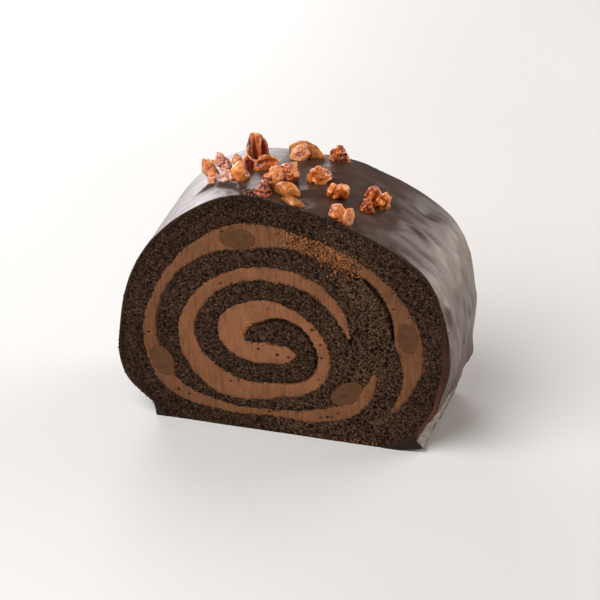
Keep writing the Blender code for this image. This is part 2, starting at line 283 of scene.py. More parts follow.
# The glaze flakes towards its right foot, and its waves die out just above the feet
FLAKES_BELOW = 13.0
FLAKES_FADE = 4.0
FOOT_FADE = 4.0

# The glaze's cut edge: rounded outside, crumbed above a height, reddish and lighter low on the
# right, partly with painted light, and darkened at the feet with painted shade
LIP_ROWS = 5
LIP_ROUND = 0.28
LIP_TURNS = (0, 30, 60)
RIM_CLEAN_BELOW = 30.0
RIM_CLEAN_BELOW_LEFT = 4.0
RIM_CRUMBED_FADE = 6.0
LIT_BLUSH_HEIGHT = 11.0
LIT_BLUSH_SPREAD = 7.5
FOOT_SHADE_BELOW = 6.2
FOOT_SHADE_FADE = 2.2

# Crumbs on the cut face: how far they stray from their line, how many there are, and their
# sizes and tones
BORDER_CRUMBS = (0.32, 800, (0.15, 0.40), (0.0, 0.9))
ARCH_CRUMBS = (1.2, 260, (0.25, 0.5), (0.2, 0.9))
RIM_CRUMBS = (0.25, 900, (0.22, 0.45), (0.1, 0.9))
SMEAR_CRUMBS = (1.3, 620, (0.25, 0.65), (0.0, 1.0))
SMEAR_END_CRUMBS = (1.8, 160, (0.25, 0.6), (0.0, 0.9))
EYE_CRUMBS = (0.45, 30, (0.2, 0.45), (0.9, 1.1))
FOOT_CRUMBS = (0.35, 60, (0.3, 0.7), (0.3, 0.9))

# The lines that those crumbs follow
ARCH_CRUMBS_IN = (0.93, 0.96)
RIM_CRUMBS_IN = 0.55
SMEAR_END_PLACES = 8
EYE_CRUMB_LINE = ((-8.9, 28.4), (-8.4, 29.6), (-7.2, 30.6))
FOOT_CRUMB_LINE = ((18.5, 0.4), (22.0, 0.5), (26.0, 0.6))
CLEAR_OF_GANACHE = 0.3

# Torn glaze between the lobe and the nuts, as a place across and back
TORN_SPOT = (-6.2, -16.0)
TORN_SPREAD = (1.2, 0.9)
TORN_CRUMBS = 220
TORN_SIZES = (0.35, 0.9)

# Colours that a single mark has
# Reddish tone of the glaze's cut edge low on the right, partly its own colour and partly painted light
LIT_BLUSH = (0.090, 0.034, 0.021)
# Painted shade on the glaze's cut edge at the feet
FOOT_SHADE = (0.0205, 0.0126, 0.0078)
CREAM_EYE = (0.265, 0.105, 0.046)
CREAM_CRUMB = (0.44, 0.172, 0.060)
TORN_GLAZE = ((0.012, 0.005, 0.004), (0.085, 0.028, 0.020), (0.300, 0.150, 0.120))
SUGAR_BRIGHT = (0.88, 0.70, 0.64)
SKY = (0.93, 0.94, 0.96, 1.0)

# Numbers that stir a grid cell and a seed into a steady random number
HASH_FACTORS = np.array([73856093, 19349663, 83492791], np.int64)
HASH_SEED_FACTOR = 26544357
HASH_MIX = 0x45D9F3B
HASH_MASK = 0xFFFFFFFF

# The range that most of a noise texture's values lie in
NOISE_LOW = 0.3
NOISE_HIGH = 0.7

# Soft lights: azimuth and elevation in degrees, distance and width, the setting that drives the
# light and its share of it, and colour. Azimuth 0 is in front of the cake and 90 to its right.
LIGHTS = {
    "front_soft": (-35, 50, 700, 600, "key", 1.0, (1.0, 0.99, 0.97)),
    "left_back_sheen": (-144, 13, 650, 460, "sheen", 0.63, (1.0, 0.95, 0.97)),
    "right_back_sheen": (132, 17, 650, 580, "sheen", 0.65, (1.0, 0.95, 0.92)),
    "right_warm_side": (122, 2, 500, 240, "sheen", 0.17, (1.0, 0.70, 0.42)),
}
LIGHT_AIM = (0.0, 0.0, 32.0)
FLOOR_HALF = 1500.0
CAMERA_PLACE = (124.2, -402.1, 243.6)
CAMERA_AZIMUTH = math.radians(17.0)
CAMERA_ELEVATION = math.radians(26.88)
CAMERA_ROLL = math.radians(-0.65)
CAMERA_REACH = (10.0, 5000.0)


class CrumbSettings(PropertyGroup):
    """Sizes of the sponge's and the cream's surface."""

    grid: FloatProperty(
        name="Grain", description="Distance between the points of the cut faces",
        default=0.29 * MM, unit="LENGTH",
    )
    pore_depth: FloatProperty(
        name="Pore depth", description="Depth of the largest pores in the crumb",
        default=0.55 * MM, unit="LENGTH",
    )
    ragged: FloatProperty(
        name="Ragged edge", description="How far the crumb strays over the edge of a layer",
        default=0.28 * MM, unit="LENGTH",
    )
    drag: FloatProperty(
        name="Knife drag", description="Height of the marks that the knife leaves on the cream",
        default=0.05 * MM, unit="LENGTH",
    )
    seed: IntProperty(name="Seed", description="Draws another crumb", default=3)


class GlazeSettings(PropertyGroup):
    """Sizes of the glaze's surface."""

    grid: FloatProperty(
        name="Grain", description="Distance between the points of the glaze",
        default=0.4 * MM, unit="LENGTH",
    )
    wave: FloatProperty(
        name="Waves", description="Height of the broad waves that the spatula leaves round the roll",
        default=0.36 * MM, unit="LENGTH",
    )
    streak: FloatProperty(
        name="Streaks", description="Height of the fine streaks along the waves",
        default=0.03 * MM, unit="LENGTH",
    )
    seed: IntProperty(name="Seed", description="Draws other waves", default=5)


class ColourSettings(PropertyGroup):
    """Colours of the cake."""

    # The darkest crumb colour, put into the pores as painted shade
    sponge_dark: FloatVectorProperty(
        name="Sponge pores", description="Colour inside the pores", subtype="COLOR",
        default=(0.006, 0.0035, 0.0025), min=0, max=1,
    )
    sponge: FloatVectorProperty(
        name="Sponge", description="Main colour of the crumb", subtype="COLOR",
        default=(0.034, 0.0178, 0.0112), min=0, max=1,
    )
    # Partly the crumb's own light specks and partly painted highlight on its raised grains
    sponge_light: FloatVectorProperty(
        name="Sponge grains", description="Colour of the crumb's raised grains", subtype="COLOR",
        default=(0.135, 0.074, 0.046), min=0, max=1,
    )
    cream: FloatVectorProperty(
        name="Cream", description="Colour of the chocolate cream", subtype="COLOR",
        default=(0.190, 0.074, 0.029), min=0, max=1,
    )
    ganache: FloatVectorProperty(
        name="Ganache", description="Colour of the ganache pieces", subtype="COLOR",
        default=(0.093, 0.040, 0.017), min=0, max=1,
    )
    glaze: FloatVectorProperty(
        name="Glaze", description="Colour of the chocolate glaze", subtype="COLOR",
        default=(0.046, 0.021, 0.012), min=0, max=1,
    )
    glaze_cut: FloatVectorProperty(
        name="Glaze edge", description="Colour of the glaze where it is cut", subtype="COLOR",
        default=(0.046, 0.019, 0.0105), min=0, max=1,
    )
    nut_dark: FloatVectorProperty(
        name="Roasted nut", description="Colour of roasted skin under the caramel", subtype="COLOR",
        default=(0.130, 0.012, 0.004), min=0, max=1,
    )
    nut: FloatVectorProperty(
        name="Nut", description="Main colour of the caramel nuts", subtype="COLOR",
        default=(0.540, 0.112, 0.014), min=0, max=1,
    )
    nut_pale: FloatVectorProperty(
        name="Cut nut", description="Colour of bare cut kernels", subtype="COLOR",
        default=(0.800, 0.300, 0.065), min=0, max=1,
    )
    almond: FloatVectorProperty(
        name="Almond", description="Main colour of the whole almond cuts", subtype="COLOR",
        default=(0.480, 0.160, 0.036), min=0, max=1,
    )
    sugar: FloatVectorProperty(
        name="Sugar", description="Colour of the sugar grains on the nuts", subtype="COLOR",
        default=(0.800, 0.420, 0.330), min=0, max=1,
    )


class StageSettings(PropertyGroup):
    """Floor, light and lens."""

    floor: FloatVectorProperty(
        name="Floor", description="Colour of the floor", subtype="COLOR",
        default=(0.68, 0.67, 0.66), min=0, max=1,
    )
    lens: FloatProperty(name="Lens", description="Focal length in millimetres", default=108.0)
    key: FloatProperty(
        name="Key light", description="Power of the soft light in front", default=6.5, unit="POWER",
    )
    sheen: FloatProperty(
        name="Sheen light", description="Power of the low light behind", default=5.0, unit="POWER",
    )
    world: FloatProperty(name="Sky", description="Strength of the even light all round", default=0.14)


def hashed(cells, seed):
    """A steady random number from 0 to 1 for each cell of a grid."""
    mixed = (cells * HASH_FACTORS[: cells.shape[1]]).sum(axis=1) + seed * HASH_SEED_FACTOR
    mixed &= HASH_MASK
    for _ in range(2):
        mixed = ((mixed >> 16) ^ mixed) * HASH_MIX & HASH_MASK
    return ((mixed >> 16) ^ mixed) / HASH_MASK


def soft_noise(places, size, seed):
    """Smooth noise from -1 to 1 with bumps about a size across, given once or for each axis."""
    scaled = places / size
    cell = np.floor(scaled).astype(np.int64)
    part = scaled - cell
    part = part * part * (3 - 2 * part)
    total = np.zeros(len(places))
    for corner in itertools.product((0, 1), repeat=places.shape[1]):
        weight = np.where(corner, part, 1 - part).prod(axis=1)
        total += weight * hashed(cell + np.array(corner), seed)
    return 2 * total - 1


def pores(places, spacing, radii, share, seed):
    """How deep each place lies in a pore, from 0 to 1, with pores of many sizes strewn over the face."""
    cell = np.floor(places / spacing).astype(np.int64)
    deepest = np.zeros(len(places))
    for step in itertools.product((-1, 0, 1), repeat=2):
        home = cell + np.array(step)
        centre = (home + np.stack([hashed(home, seed), hashed(home, seed + 1)], axis=1)) * spacing
        radius = np.interp(hashed(home, seed + 2), (0, 1), radii)
        far = np.linalg.norm(places - centre, axis=1) / radius
        bowl = np.clip(1 - far**2, 0, None) * radius / radii[1]
        deepest = np.maximum(deepest, np.where(hashed(home, seed + 3) < share, bowl, 0))
    return deepest


def eased(places, values, wanted):
    """Reads a smooth curve through the values given at the places."""
    places, values = np.array(places, float), np.array(values, float)
    slopes = np.gradient(values, places)
    before = np.clip(np.searchsorted(places, wanted, side="right") - 1, 0, len(places) - 2)
    span = places[before + 1] - places[before]
    part = (wanted - places[before]) / span
    rise = values[before + 1] - values[before]
    bend_in = slopes[before] * span - rise
    bend_out = rise - slopes[before + 1] * span
    return values[before] + part * rise + part * (1 - part) * (bend_in * (1 - part) + bend_out * part)


def lengths_along(line):
    """How far along a line each of its points lies."""
    return np.concatenate([[0], np.cumsum(np.linalg.norm(np.diff(line, axis=0), axis=1))])


def smooth_line(points, step):
    """Points about a step apart along a smooth curve through the given ones."""
    points = np.array(points, float)
    along = lengths_along(points)
    wanted = np.linspace(0, along[-1], round(along[-1] / step) + 1)
    return np.stack([eased(along, points[:, axis], wanted) for axis in (0, 1)], axis=1)


def straight_line(points, count):
    """A number of evenly spaced points along the straight runs between the given ones."""
    points = np.array(points, float)
    along = lengths_along(points)
    wanted = np.linspace(0, along[-1], count)
    return np.stack([np.interp(wanted, along, points[:, axis]) for axis in (0, 1)], axis=1)


def moved_in(line, distance):
    """The line moved to its right-hand side, which is the inside of an arch drawn left to right."""
    along = np.gradient(line, axis=0)
    along /= np.linalg.norm(along, axis=1)[:, None]
    inward = np.stack([along[:, 1], -along[:, 0]], axis=1)
    return line + inward * np.reshape(distance, (-1, 1))


def glaze_thickness(line):
    """Thin over the left side and the top, and thicker where it ran down the right side."""
    across, up = line[:, 0], line[:, 1]
    right = 1 / (1 + np.exp(-(across - GLAZE_RIGHT_FROM) / GLAZE_RIGHT_BLEND))
    run_down = np.exp(-(((up - GLAZE_THICKEST_HEIGHT) / GLAZE_THICK_SPREAD) ** 2))
    return GLAZE_THIN + GLAZE_EXTRA_RIGHT * right * run_down


def glaze_lines(step):
    """The glaze's outside and inside on the cut face, left to right, with as many points each."""
    arch = smooth_line(ARCH, step)
    inner = moved_in(arch, glaze_thickness(arch))
    lines = []
    for course, left_foot, right_foot in (
        (arch, LEFT_FOOT_OUTSIDE, RIGHT_FOOT_OUTSIDE),
        (inner, LEFT_FOOT_INSIDE, RIGHT_FOOT_INSIDE),
    ):
        left = straight_line([*left_foot, course[0]], round(FOOT_LEFT_RUN / step))
        right = straight_line([course[-1], *right_foot], round(FOOT_RIGHT_RUN / step))
        lines.append(np.concatenate([left[:-1], course, right[1:]]))
    return lines


def from_eye(hour, distance):
    """Places at clock hours and distances from the eye of the roll."""
    turn = math.pi / 2 - HOUR * np.asarray(hour)
    return np.stack([EYE[0] + distance * np.cos(turn), EYE[1] + distance * np.sin(turn)], axis=-1)


def band_outline(band, grown, step):
    """A band of filling as a closed outline that narrows at both ends."""
    hours, middles, thicknesses = np.array(band).T
    fine = np.linspace(hours[0], hours[-1], BAND_SAMPLES)
    along = lengths_along(from_eye(fine, eased(hours, middles, fine)))
    wanted = np.interp(np.linspace(0, along[-1], round(along[-1] / step) + 1), along, fine)
    middle = eased(hours, middles, wanted)
    half = np.maximum(eased(hours, thicknesses, wanted), BAND_LEAST) / 2
    half[[0, -1]] *= BAND_TIP_SHARE
    half += grown
    return np.concatenate([from_eye(wanted, middle + half), from_eye(wanted, middle - half)[::-1]])


def ganache_outline(across, up, long, short, lean, grown, sides):
    """A leaning oval of a number of sides, grown a little all round."""
    lean = math.radians(lean)
    turns = np.linspace(0, 2 * math.pi, sides, endpoint=False)
    along, aside = (long + grown) * np.cos(turns), (short + grown) * np.sin(turns)
    return np.stack(
        [
            across + along * math.cos(lean) - aside * math.sin(lean),
            up + along * math.sin(lean) + aside * math.cos(lean),
        ],
        axis=1,
    )


def set_back(line, back):
    """Places across and up on the cut face, moved to a distance back in the slice."""
    return fuller(np.stack([line[:, 0], np.broadcast_to(back, len(line)), line[:, 1]], axis=1))


def fuller(places):
    """Swells or flattens places a little, the more the nearer they are to the back."""
    across, back, up = places.T
    share = back / DEPTH + 0.5
    bulge = BULGE * np.exp(-(((up - BULGE_HEIGHT) / BULGE_SPREAD) ** 2))
    bulge = bulge / (1 + np.exp(-across / BULGE_SIDE))
    dip = DIP * np.exp(-(((across - DIP_PLACE) / DIP_SPREAD) ** 2)) * up / TOP
    return np.stack(
        [
            across * (1 + BACK_WIDER * share) + (bulge - BACK_LEFTWARD) * share,
            back,
            up * (1 + BACK_TALLER * share) - dip * share,
        ],
        axis=1,
    )


def eye_crack():
    """The crack along the inner edge of the cream, darkened with painted shade, from over the eye down its
    right side.
    """
    hours, middles, thicknesses = np.array(INNER_BAND).T
    wanted = np.linspace(*EYE_CRACK_HOURS, EYE_CRACK_SAMPLES)
    return from_eye(wanted, eased(hours, middles, wanted) - eased(hours, thicknesses, wanted) / 2)


def near_line(places, line, width):
    """1 on a line, falling off smoothly to 0 away from it."""
    nearest = np.full(len(places), np.inf)
    for point in smooth_line(line, width / 2):
        nearest = np.minimum(nearest, ((places - point) ** 2).sum(axis=1))
    return np.exp(-nearest / width**2)


def ragged(outline, reach, seed):
    """The closed outline with crumbs and nicks along it."""
    along = np.roll(outline, -1, axis=0) - np.roll(outline, 1, axis=0)
    along /= np.linalg.norm(along, axis=1)[:, None]
    aside = np.stack([along[:, 1], -along[:, 0]], axis=1)
    nicks = soft_noise(outline, RAGGED_FINE, seed + 1)
    stray = 0.6 * soft_noise(outline, RAGGED_COARSE, seed) + 0.9 * nicks
    return outline + aside * reach * stray[:, None]


@functools.lru_cache
def cut_face():
    """The cut face as one net of small triangles: its points, each region's triangles, and how
    far each point is from the edge of a layer."""
    settings = bpy.context.scene.roll_cake_crumb
    step = settings.grid / MM
    stray = settings.ragged / MM
    seed = settings.seed
    sponge = glaze_lines(step)[1]
    sponge[0, 1] = sponge[-1, 1] = 0.0
    bottom = straight_line([sponge[-1], sponge[0]], round((sponge[-1, 0] - sponge[0, 0]) / step))
    outlines = [np.concatenate([sponge, bottom[1:-1]])]
    for band in (INNER_BAND, OUTER_BAND):
        outlines.append(ragged(band_outline(band, SEAM, step), stray, seed))
    for piece in GANACHE:
        sides = round(math.tau * piece[2] / step)
        outlines.append(ragged(ganache_outline(*piece, SEAM, sides), stray, seed + 5))
    outlines = [counterclockwise(outline) for outline in outlines]

    edge = np.concatenate(outlines)
    low, high = edge.min(axis=0), edge.max(axis=0)
    rows = np.arange(low[1], high[1], step * math.sqrt(3) / 2)
    columns = np.arange(low[0], high[0], step)
    across, up = np.meshgrid(columns, rows)
    across = across + (np.arange(len(rows)) % 2)[:, None] * step / 2
    grid = np.stack([across.ravel(), up.ravel()], axis=1)
    draw = np.random.default_rng(seed)
    grid += draw.uniform(-GRID_JITTER * step, GRID_JITTER * step, grid.shape)
    tree = tree_of(edge)
    grid = grid[distance_to(tree, grid) > EDGE_CLEAR * step]

    places = np.concatenate([edge, grid])
    starts = np.cumsum([0] + [len(outline) for outline in outlines])
    loops = [list(range(start, end)) for start, end in zip(starts, starts[1:])]
    vectors = [Vector(place) for place in places]
    points, _, triangles, _, _, sources = delaunay_2d_cdt(vectors, [], loops, 1, MERGE)
    points = np.array(points)
    triangles = np.array(triangles)
    owner = np.array([max(source) for source in sources])
    regions = {name: triangles[owner == number] for number, name in enumerate(REGIONS)}
    return points, regions, distance_to(tree, points)


def counterclockwise(outline):
    """The outline in the direction that the net of triangles needs."""
    after = np.roll(outline, -1, axis=0)
    area = (outline[:, 0] * after[:, 1] - outline[:, 1] * after[:, 0]).sum()
    return outline if area > 0 else outline[::-1]


def tree_of(places):
    """A search tree of places across and up."""
    tree = KDTree(len(places))
    for number, (across, up) in enumerate(places):
        tree.insert((across, up, 0), number)
    tree.balance()
    return tree


def distance_to(tree, places):
    """How far each place is from the nearest one in a search tree."""
    return np.array([tree.find((across, up, 0))[2] for across, up in places])


def own_points(triangles):
    """The points that the triangles use, and the triangles numbered by them."""
    used, numbered = np.unique(triangles, return_inverse=True)
    return used, numbered.reshape(-1, 3)


def rim_edges(triangles):
    """The edges that only one triangle has, in that triangle's direction."""
    edges = triangles[:, [0, 1, 1, 2, 2, 0]].reshape(-1, 2)
    keys = np.sort(edges, axis=1)
    _, first, count = np.unique(keys, axis=0, return_index=True, return_counts=True)
    return edges[first[count == 1]]


def slab(name, region, front_relief, back_relief, values):
    """A closed piece of the slice with relief on its front and back, both in millimetres outward.

    The values are numbers for its points, front ones first, which its material reads by name.
    """
    points, regions, _ = cut_face()
    used, triangles = own_points(regions[region])
    flat = points[used]
    count = len(flat)
    front = set_back(flat, FRONT)
    back = set_back(flat, BACK)
    front[:, 1] -= front_relief
    back[:, 1] += back_relief
    sample = flat[triangles[0]]
    turned = np.cross(sample[1] - sample[0], sample[2] - sample[0]) < 0
    facing = triangles[:, ::-1] if turned else triangles
    rim = rim_edges(facing)
    walls = np.stack([rim[:, 1], rim[:, 0], rim[:, 0] + count, rim[:, 1] + count], axis=1)
    faces = [*facing.tolist(), *(facing[:, ::-1] + count).tolist(), *walls.tolist()]
    smooth = np.arange(len(faces)) < 2 * len(facing)
    return piece_from(name, np.concatenate([front, back]), faces, smooth, values)


def piece_from(name, places, faces, smooth=True, values=None):
    """A mesh object from places in millimetres."""
    mesh = bpy.data.meshes.new(name)
    mesh.from_pydata((np.asarray(places) * MM).tolist(), [], faces)
    mesh.polygons.foreach_set("use_smooth", np.broadcast_to(smooth, len(mesh.polygons)))
    for label, numbers in (values or {}).items():
        mesh.attributes.new(label, "FLOAT", "POINT").data.foreach_set("value", numbers.astype(np.float32))
    mesh.update()
    piece = bpy.data.objects.new(name, mesh)
    bpy.context.collection.objects.link(piece)
    return piece


def finished(piece, material, slot, *nodes):
    """Gives the piece its material, sets it on the cake's body and hides the model's parts that it stands in
    for.
    """
    piece.data.materials.append(material)
    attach(piece, BODY)
    if nodes:
        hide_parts(*nodes)


def sponge_coarseness(places):
    """How open the crumb is, from 0 near the outside to 1 in the doubled part on the right."""
    near_fold = near_line(places, FOLD, FOLD_WIDTH)
    outer = np.hypot(*((places - ROLL_MIDDLE) / ROLL_HALF).T)
    inner = np.clip((0.92 - outer) / 0.25, 0, 1)
    right = 1 / (1 + np.exp(-(places[:, 0] - OPEN_RIGHT_FROM) / OPEN_RIGHT_BLEND))
    return np.clip(0.25 + 0.25 * inner + 0.5 * near_fold + 0.3 * right, 0, 1.1)


def sponge_relief(places, edge_far, seed, marks):
    """The crumb's height in millimetres at each place, and how light it is coloured there, with painted
    shade in its pores and marks and painted highlight on its raised grains.
    """
    settings = bpy.context.scene.roll_cake_crumb
    depth = settings.pore_depth / MM
    coarse = sponge_coarseness(places)
    shifted = places + 0.15 * np.stack(
        [soft_noise(places, 0.6, seed + 11), soft_noise(places, 0.6, seed + 12)], axis=1
    )
    big = pores(shifted, *LARGE_PORES, seed)
    small = pores(shifted, *SMALL_PORES, seed + 7)
    grain = 0.45 * soft_noise(places, 0.36, seed + 21) + 0.25 * soft_noise(places, 1.0, seed + 22)
    speck = np.random.default_rng(seed + 31).normal(0, 1, len(places))
    swell = 0.14 * soft_noise(places, 14.0, seed + 41) + 0.08 * soft_noise(places, 4.0, seed + 42)
    hollow = np.maximum(big * (0.4 + 0.6 * coarse), 0.6 * small)
    height = swell + 0.10 * grain + 0.04 * speck - depth * hollow
    # Painted shade darkens the pores and painted highlight lightens the raised grains and specks, over the
    # crumb's own tone
    light = 0.34 + 0.22 * coarse + 0.15 * grain + 0.17 * speck * (0.7 + 0.8 * coarse)
    light += 0.40 * np.clip(speck - 1.5, 0, 1) - (0.75 + 0.60 * coarse) * hollow
    fade = np.clip(edge_far / EDGE_FADE, 0, 1)
    height = height * (0.35 + 0.65 * fade) - EDGE_SINK * (1 - fade)
    if marks:
        gap = near_line(places, RIGHT_GAP, GAP_WIDTH)
        crack = near_line(places, eye_crack(), CRACK_WIDTH)
        upper = near_line(places, UPPER_SEAM, SEAM_WIDTH)
        lower = near_line(places, LOWER_SEAM, SEAM_WIDTH)
        hole = np.exp(-(((places - SEAM_HOLE) ** 2).sum(axis=1)) / HOLE_WIDTH**2)
        trail = near_line(places, CREAM_TRAIL, TRAIL_WIDTH)
        height -= GAP_DEPTH * gap + CRACK_DEPTH * crack
        height -= UPPER_SEAM_DEPTH * upper + LOWER_SEAM_DEPTH * lower + HOLE_DEPTH * hole
        # Painted shade in the gap, the crack, the lower seam and the hole; the upper seam and the trail are
        # drawn lighter
        light += 0.35 * upper + 0.25 * trail - 0.9 * gap - 0.9 * crack - 0.3 * lower - 0.9 * hole
    return height, np.clip(light, 0, 1)


def face_values(region):
    """A region's own points and how far each is from the edge of a layer."""
    points, regions, edge_far = cut_face()
    used, _ = own_points(regions[region])
    return points[used], edge_far[used]


def cream_relief(places, edge_far, seed, marks):
    """The cream's height in millimetres at each place, and the values for its material."""
    settings = bpy.context.scene.roll_cake_crumb
    drag = settings.drag / MM
    streaks = soft_noise(places, np.array([0.55, 7.0]), seed) + 0.6 * soft_noise(
        places, np.array([1.5, 12.0]), seed + 1
    )
    swell = 0.12 * soft_noise(places, 9.0, seed + 2) + 0.06 * soft_noise(places, 2.5, seed + 3)
    holes = pores(places, *AIR_HOLES, seed + 4)
    if marks:
        for across, up, radius in PITS:
            far = np.hypot(places[:, 0] - across, places[:, 1] - up) / radius
            holes = np.maximum(holes, np.clip(1.3 - far**2, 0, 1))
    smooth = beside_ganache(places)
    fade = np.maximum(np.clip(edge_far / EDGE_FADE, 0, 1), smooth)
    height = (0.06 + swell + drag * streaks) * fade - EDGE_SINK * (1 - fade) - PIT_DEPTH * holes
    stray = soft_noise(places, 0.7, seed + 8) + 0.6 * soft_noise(places, 0.4, seed + 9)
    crumbed = np.clip(0.55 - edge_far / 0.7 + 0.5 * stray, 0, 0.8) * (1 - smooth)
    smear = np.zeros(len(places))
    if marks:
        smear = near_line(places, SMEAR, SMEAR_WIDTH) * (1.1 + 0.9 * soft_noise(places, 1.4, seed + 5))
        smear = np.clip(1.4 * smear, 0, 1)
        crack = near_line(places, eye_crack(), CRACK_WIDTH_IN_CREAM)
        gap = near_line(places, RIGHT_GAP, GAP_WIDTH)
        height -= CRACK_DEPTH_IN_CREAM * crack + GAP_DEPTH_IN_CREAM * gap
        # The crack is also darkened with painted shade in the cream's material
        holes = np.maximum(holes, 0.9 * crack)
    rough = soft_noise(places, 0.5, seed + 6) + 0.8 * soft_noise(places, 0.9, seed + 7)
    height += 0.16 * np.maximum(crumbed, smear) * rough
    far = np.hypot(*((places - EYE) / ROLL_HALF).T)
    # Lighter near the eye and darker outward; the extra darkening at the far left is painted shade
    light = 0.95 - 0.75 * np.clip((far - 0.15) / 0.75, 0, 1) + 0.12 * soft_noise(places, 6.0, seed + 10)
    light -= 0.2 * np.clip(-(places[:, 0] + 28) / 6, 0, 1)
    holes = np.clip(holes, 0, 1)
    return height, {"crumbed": crumbed, "smear": smear, "hole": holes, "light": np.clip(light, 0, 1)}


def beside_ganache(places):
    """1 at the edge of a ganache piece and close outside it, and 0 away from the pieces."""
    nearest = np.full(len(places), np.inf)
    for across, up, long, short, lean in GANACHE:
        lean = math.radians(lean)
        aside, rise = places[:, 0] - across, places[:, 1] - up
        along = (aside * math.cos(lean) + rise * math.sin(lean)) / long
        over = (rise * math.cos(lean) - aside * math.sin(lean)) / short
        nearest = np.minimum(nearest, (np.hypot(along, over) - 1) * short)
    return np.clip(1.6 - nearest / EDGE_FADE, 0, 1)


def ganache_relief(places, edge_far, seed):
    """The height of a ganache piece in millimetres at each place."""
    swell = 0.10 * soft_noise(places, 3.0, seed) + 0.05 * soft_noise(places, 0.9, seed + 1)
    return 0.05 + swell * np.clip(edge_far / EDGE_FADE, 0.3, 1)


def glaze_relief(along, back, outside):
    """The glaze's height over its solid, in millimetres, along the roll's outside at a distance back."""
    settings = bpy.context.scene.roll_cake_glaze
    wave, streak, seed = settings.wave / MM, settings.streak / MM, settings.seed
    across, up = outside.T
    bend = sum(high * np.sin(along / long + start) for high, long, start in COURSE_BENDS)
    course = np.stack([along, back + bend - GLAZE_SLANT * np.clip(across, 0, None)], axis=1)
    strays = [soft_noise(course, 7.0, seed + 5), soft_noise(course, 5.0, seed + 6)]
    course += COURSE_STRAY * np.stack(strays, axis=1)
    right = 1 / (1 + np.exp(-(across - WAVES_RIGHT_FROM) / WAVES_RIGHT_BLEND))
    broad = soft_noise(course, BROAD_WAVES, seed) + 0.6 * soft_noise(course, NARROW_WAVES, seed + 1)
    fine = soft_noise(course, FINE_STREAKS, seed + 2)
    uneven = soft_noise(course, 6.0, seed + 3) + 0.4 * soft_noise(course, 2.2, seed + 4)
    quiet = np.clip((BACK - back) / QUIET_AT_BACK, 0.4, 1)
    height = wave * (0.12 + 1.40 * right) * quiet * broad + streak * (0.3 + right) * fine
    height += (0.03 + 0.08 * right) * uneven
    lobe = near_line(np.stack([across, np.full(len(across), back)], axis=1), FRONT_LOBE, LOBE_WIDTH)
    lobe *= np.clip((across - LOBE_FROM) / LOBE_RUN_IN, 0, 1)
    flaky = np.clip((FLAKES_BELOW - up) / FLAKES_FADE, 0, 1) * (across > 0)
    flakes = 0.20 * soft_noise(course, 1.1, seed + 7) + 0.12 * soft_noise(course, 0.6, seed + 8)
    height += LOBE_HEIGHT * lobe + flaky * flakes
    return height * np.clip(up / FOOT_FADE, 0, 1)


def glaze_rim(outside, inside, outward, height, crumbed, side, end):
    """The glaze's cut edge at one end of the slice, as rows of places, distances back and how cut."""
    seed = bpy.context.scene.roll_cake_glaze.seed
    rim = []
    for row in range(LIP_ROWS):
        line = inside + (outside - inside) * row / LIP_ROWS
        rough = 0.06 * soft_noise(line, 0.8, seed + 8) + 0.05 * soft_noise(line, 2.5, seed + 9)
        rough += 0.16 * crumbed * soft_noise(line, 0.45, seed + 10)
        rim.append((line, end + side * rough, 1.0))
    for turn in np.radians(LIP_TURNS):
        line = outside + outward * (height - LIP_ROUND * (1 - math.sin(turn)))[:, None]
        back = end + side * LIP_ROUND * (1 - math.cos(turn))
        rim.append((line, back, (1 - math.sin(turn)) ** 2))
    return rim


def build_glaze(name):
    """The glaze as one closed coat: outside, cut rims, inside and the ends of its feet."""
    step = bpy.context.scene.roll_cake_glaze.grid / MM
    outside, inside = glaze_lines(step)
    across, up = outside.T
    along = lengths_along(outside)
    outward = outside - moved_in(outside, 1.0)
    clean_below = np.where(across > 0, RIM_CLEAN_BELOW, RIM_CLEAN_BELOW_LEFT)
    crumbed = np.clip((up - clean_below) / RIM_CRUMBED_FADE, 0, 1)
    rims = []
    for side, end in ((1, FRONT), (-1, BACK)):
        height = glaze_relief(along, end, outside)
        rims.append(glaze_rim(outside, inside, outward, height, crumbed, side, end))
    between = DEPTH - 2 * LIP_ROUND
    coat = []
    for back in np.linspace(FRONT + LIP_ROUND, BACK - LIP_ROUND, math.ceil(between / step)):
        height = glaze_relief(along, back, outside)
        coat.append((outside + outward * height[:, None], back, 0.0))
    lining = [(inside, BACK / 2, 0.0), (inside, FRONT / 2, 0.0)]
    rows = [*rims[0], *coat, *rims[1][::-1], *lining]
    places = np.stack([set_back(line, back) for line, back, _ in rows])
    places[:, [0, -1], 2] = 0.0
    places[:, :, 2] = np.maximum(places[:, :, 2], 0.0)

    total, count = places.shape[:2]
    numbers = np.arange(total * count).reshape(total, count)
    after = np.roll(numbers, -1, axis=0)
    quads = np.stack([numbers[:, :-1], numbers[:, 1:], after[:, 1:], after[:, :-1]], axis=-1).reshape(-1, 4)
    faces = [*quads.tolist(), numbers[::-1, 0].tolist(), numbers[:, -1].tolist()]
    smooth = np.arange(len(faces)) < len(quads)
    # The cut edge's reddish tone low on the right is partly painted light; its darkening at the feet is
    # painted shade
    blush = np.exp(-(((up - LIT_BLUSH_HEIGHT) / LIT_BLUSH_SPREAD) ** 2)) * (across > 0)
    dark = np.clip((FOOT_SHADE_BELOW - up) / FOOT_SHADE_FADE, 0, 1)
    along_rim = {"blush": blush, "crumbed": crumbed, "foot": dark}
    values = {label: np.tile(each, total) for label, each in along_rim.items()}
    values["cut"] = np.repeat([cut for _, _, cut in rows], count)
    return piece_from(name, places.reshape(-1, 3), faces, smooth, values)


def roof(across, back):
    """The height of the glaze's top over a place, in millimetres."""
    top = smooth_line(ARCH, ROOF_STEP)
    top = set_back(top[top[:, 1] > ROOF_FROM], back)
    return float(np.interp(across, top[:, 0], top[:, 2]))


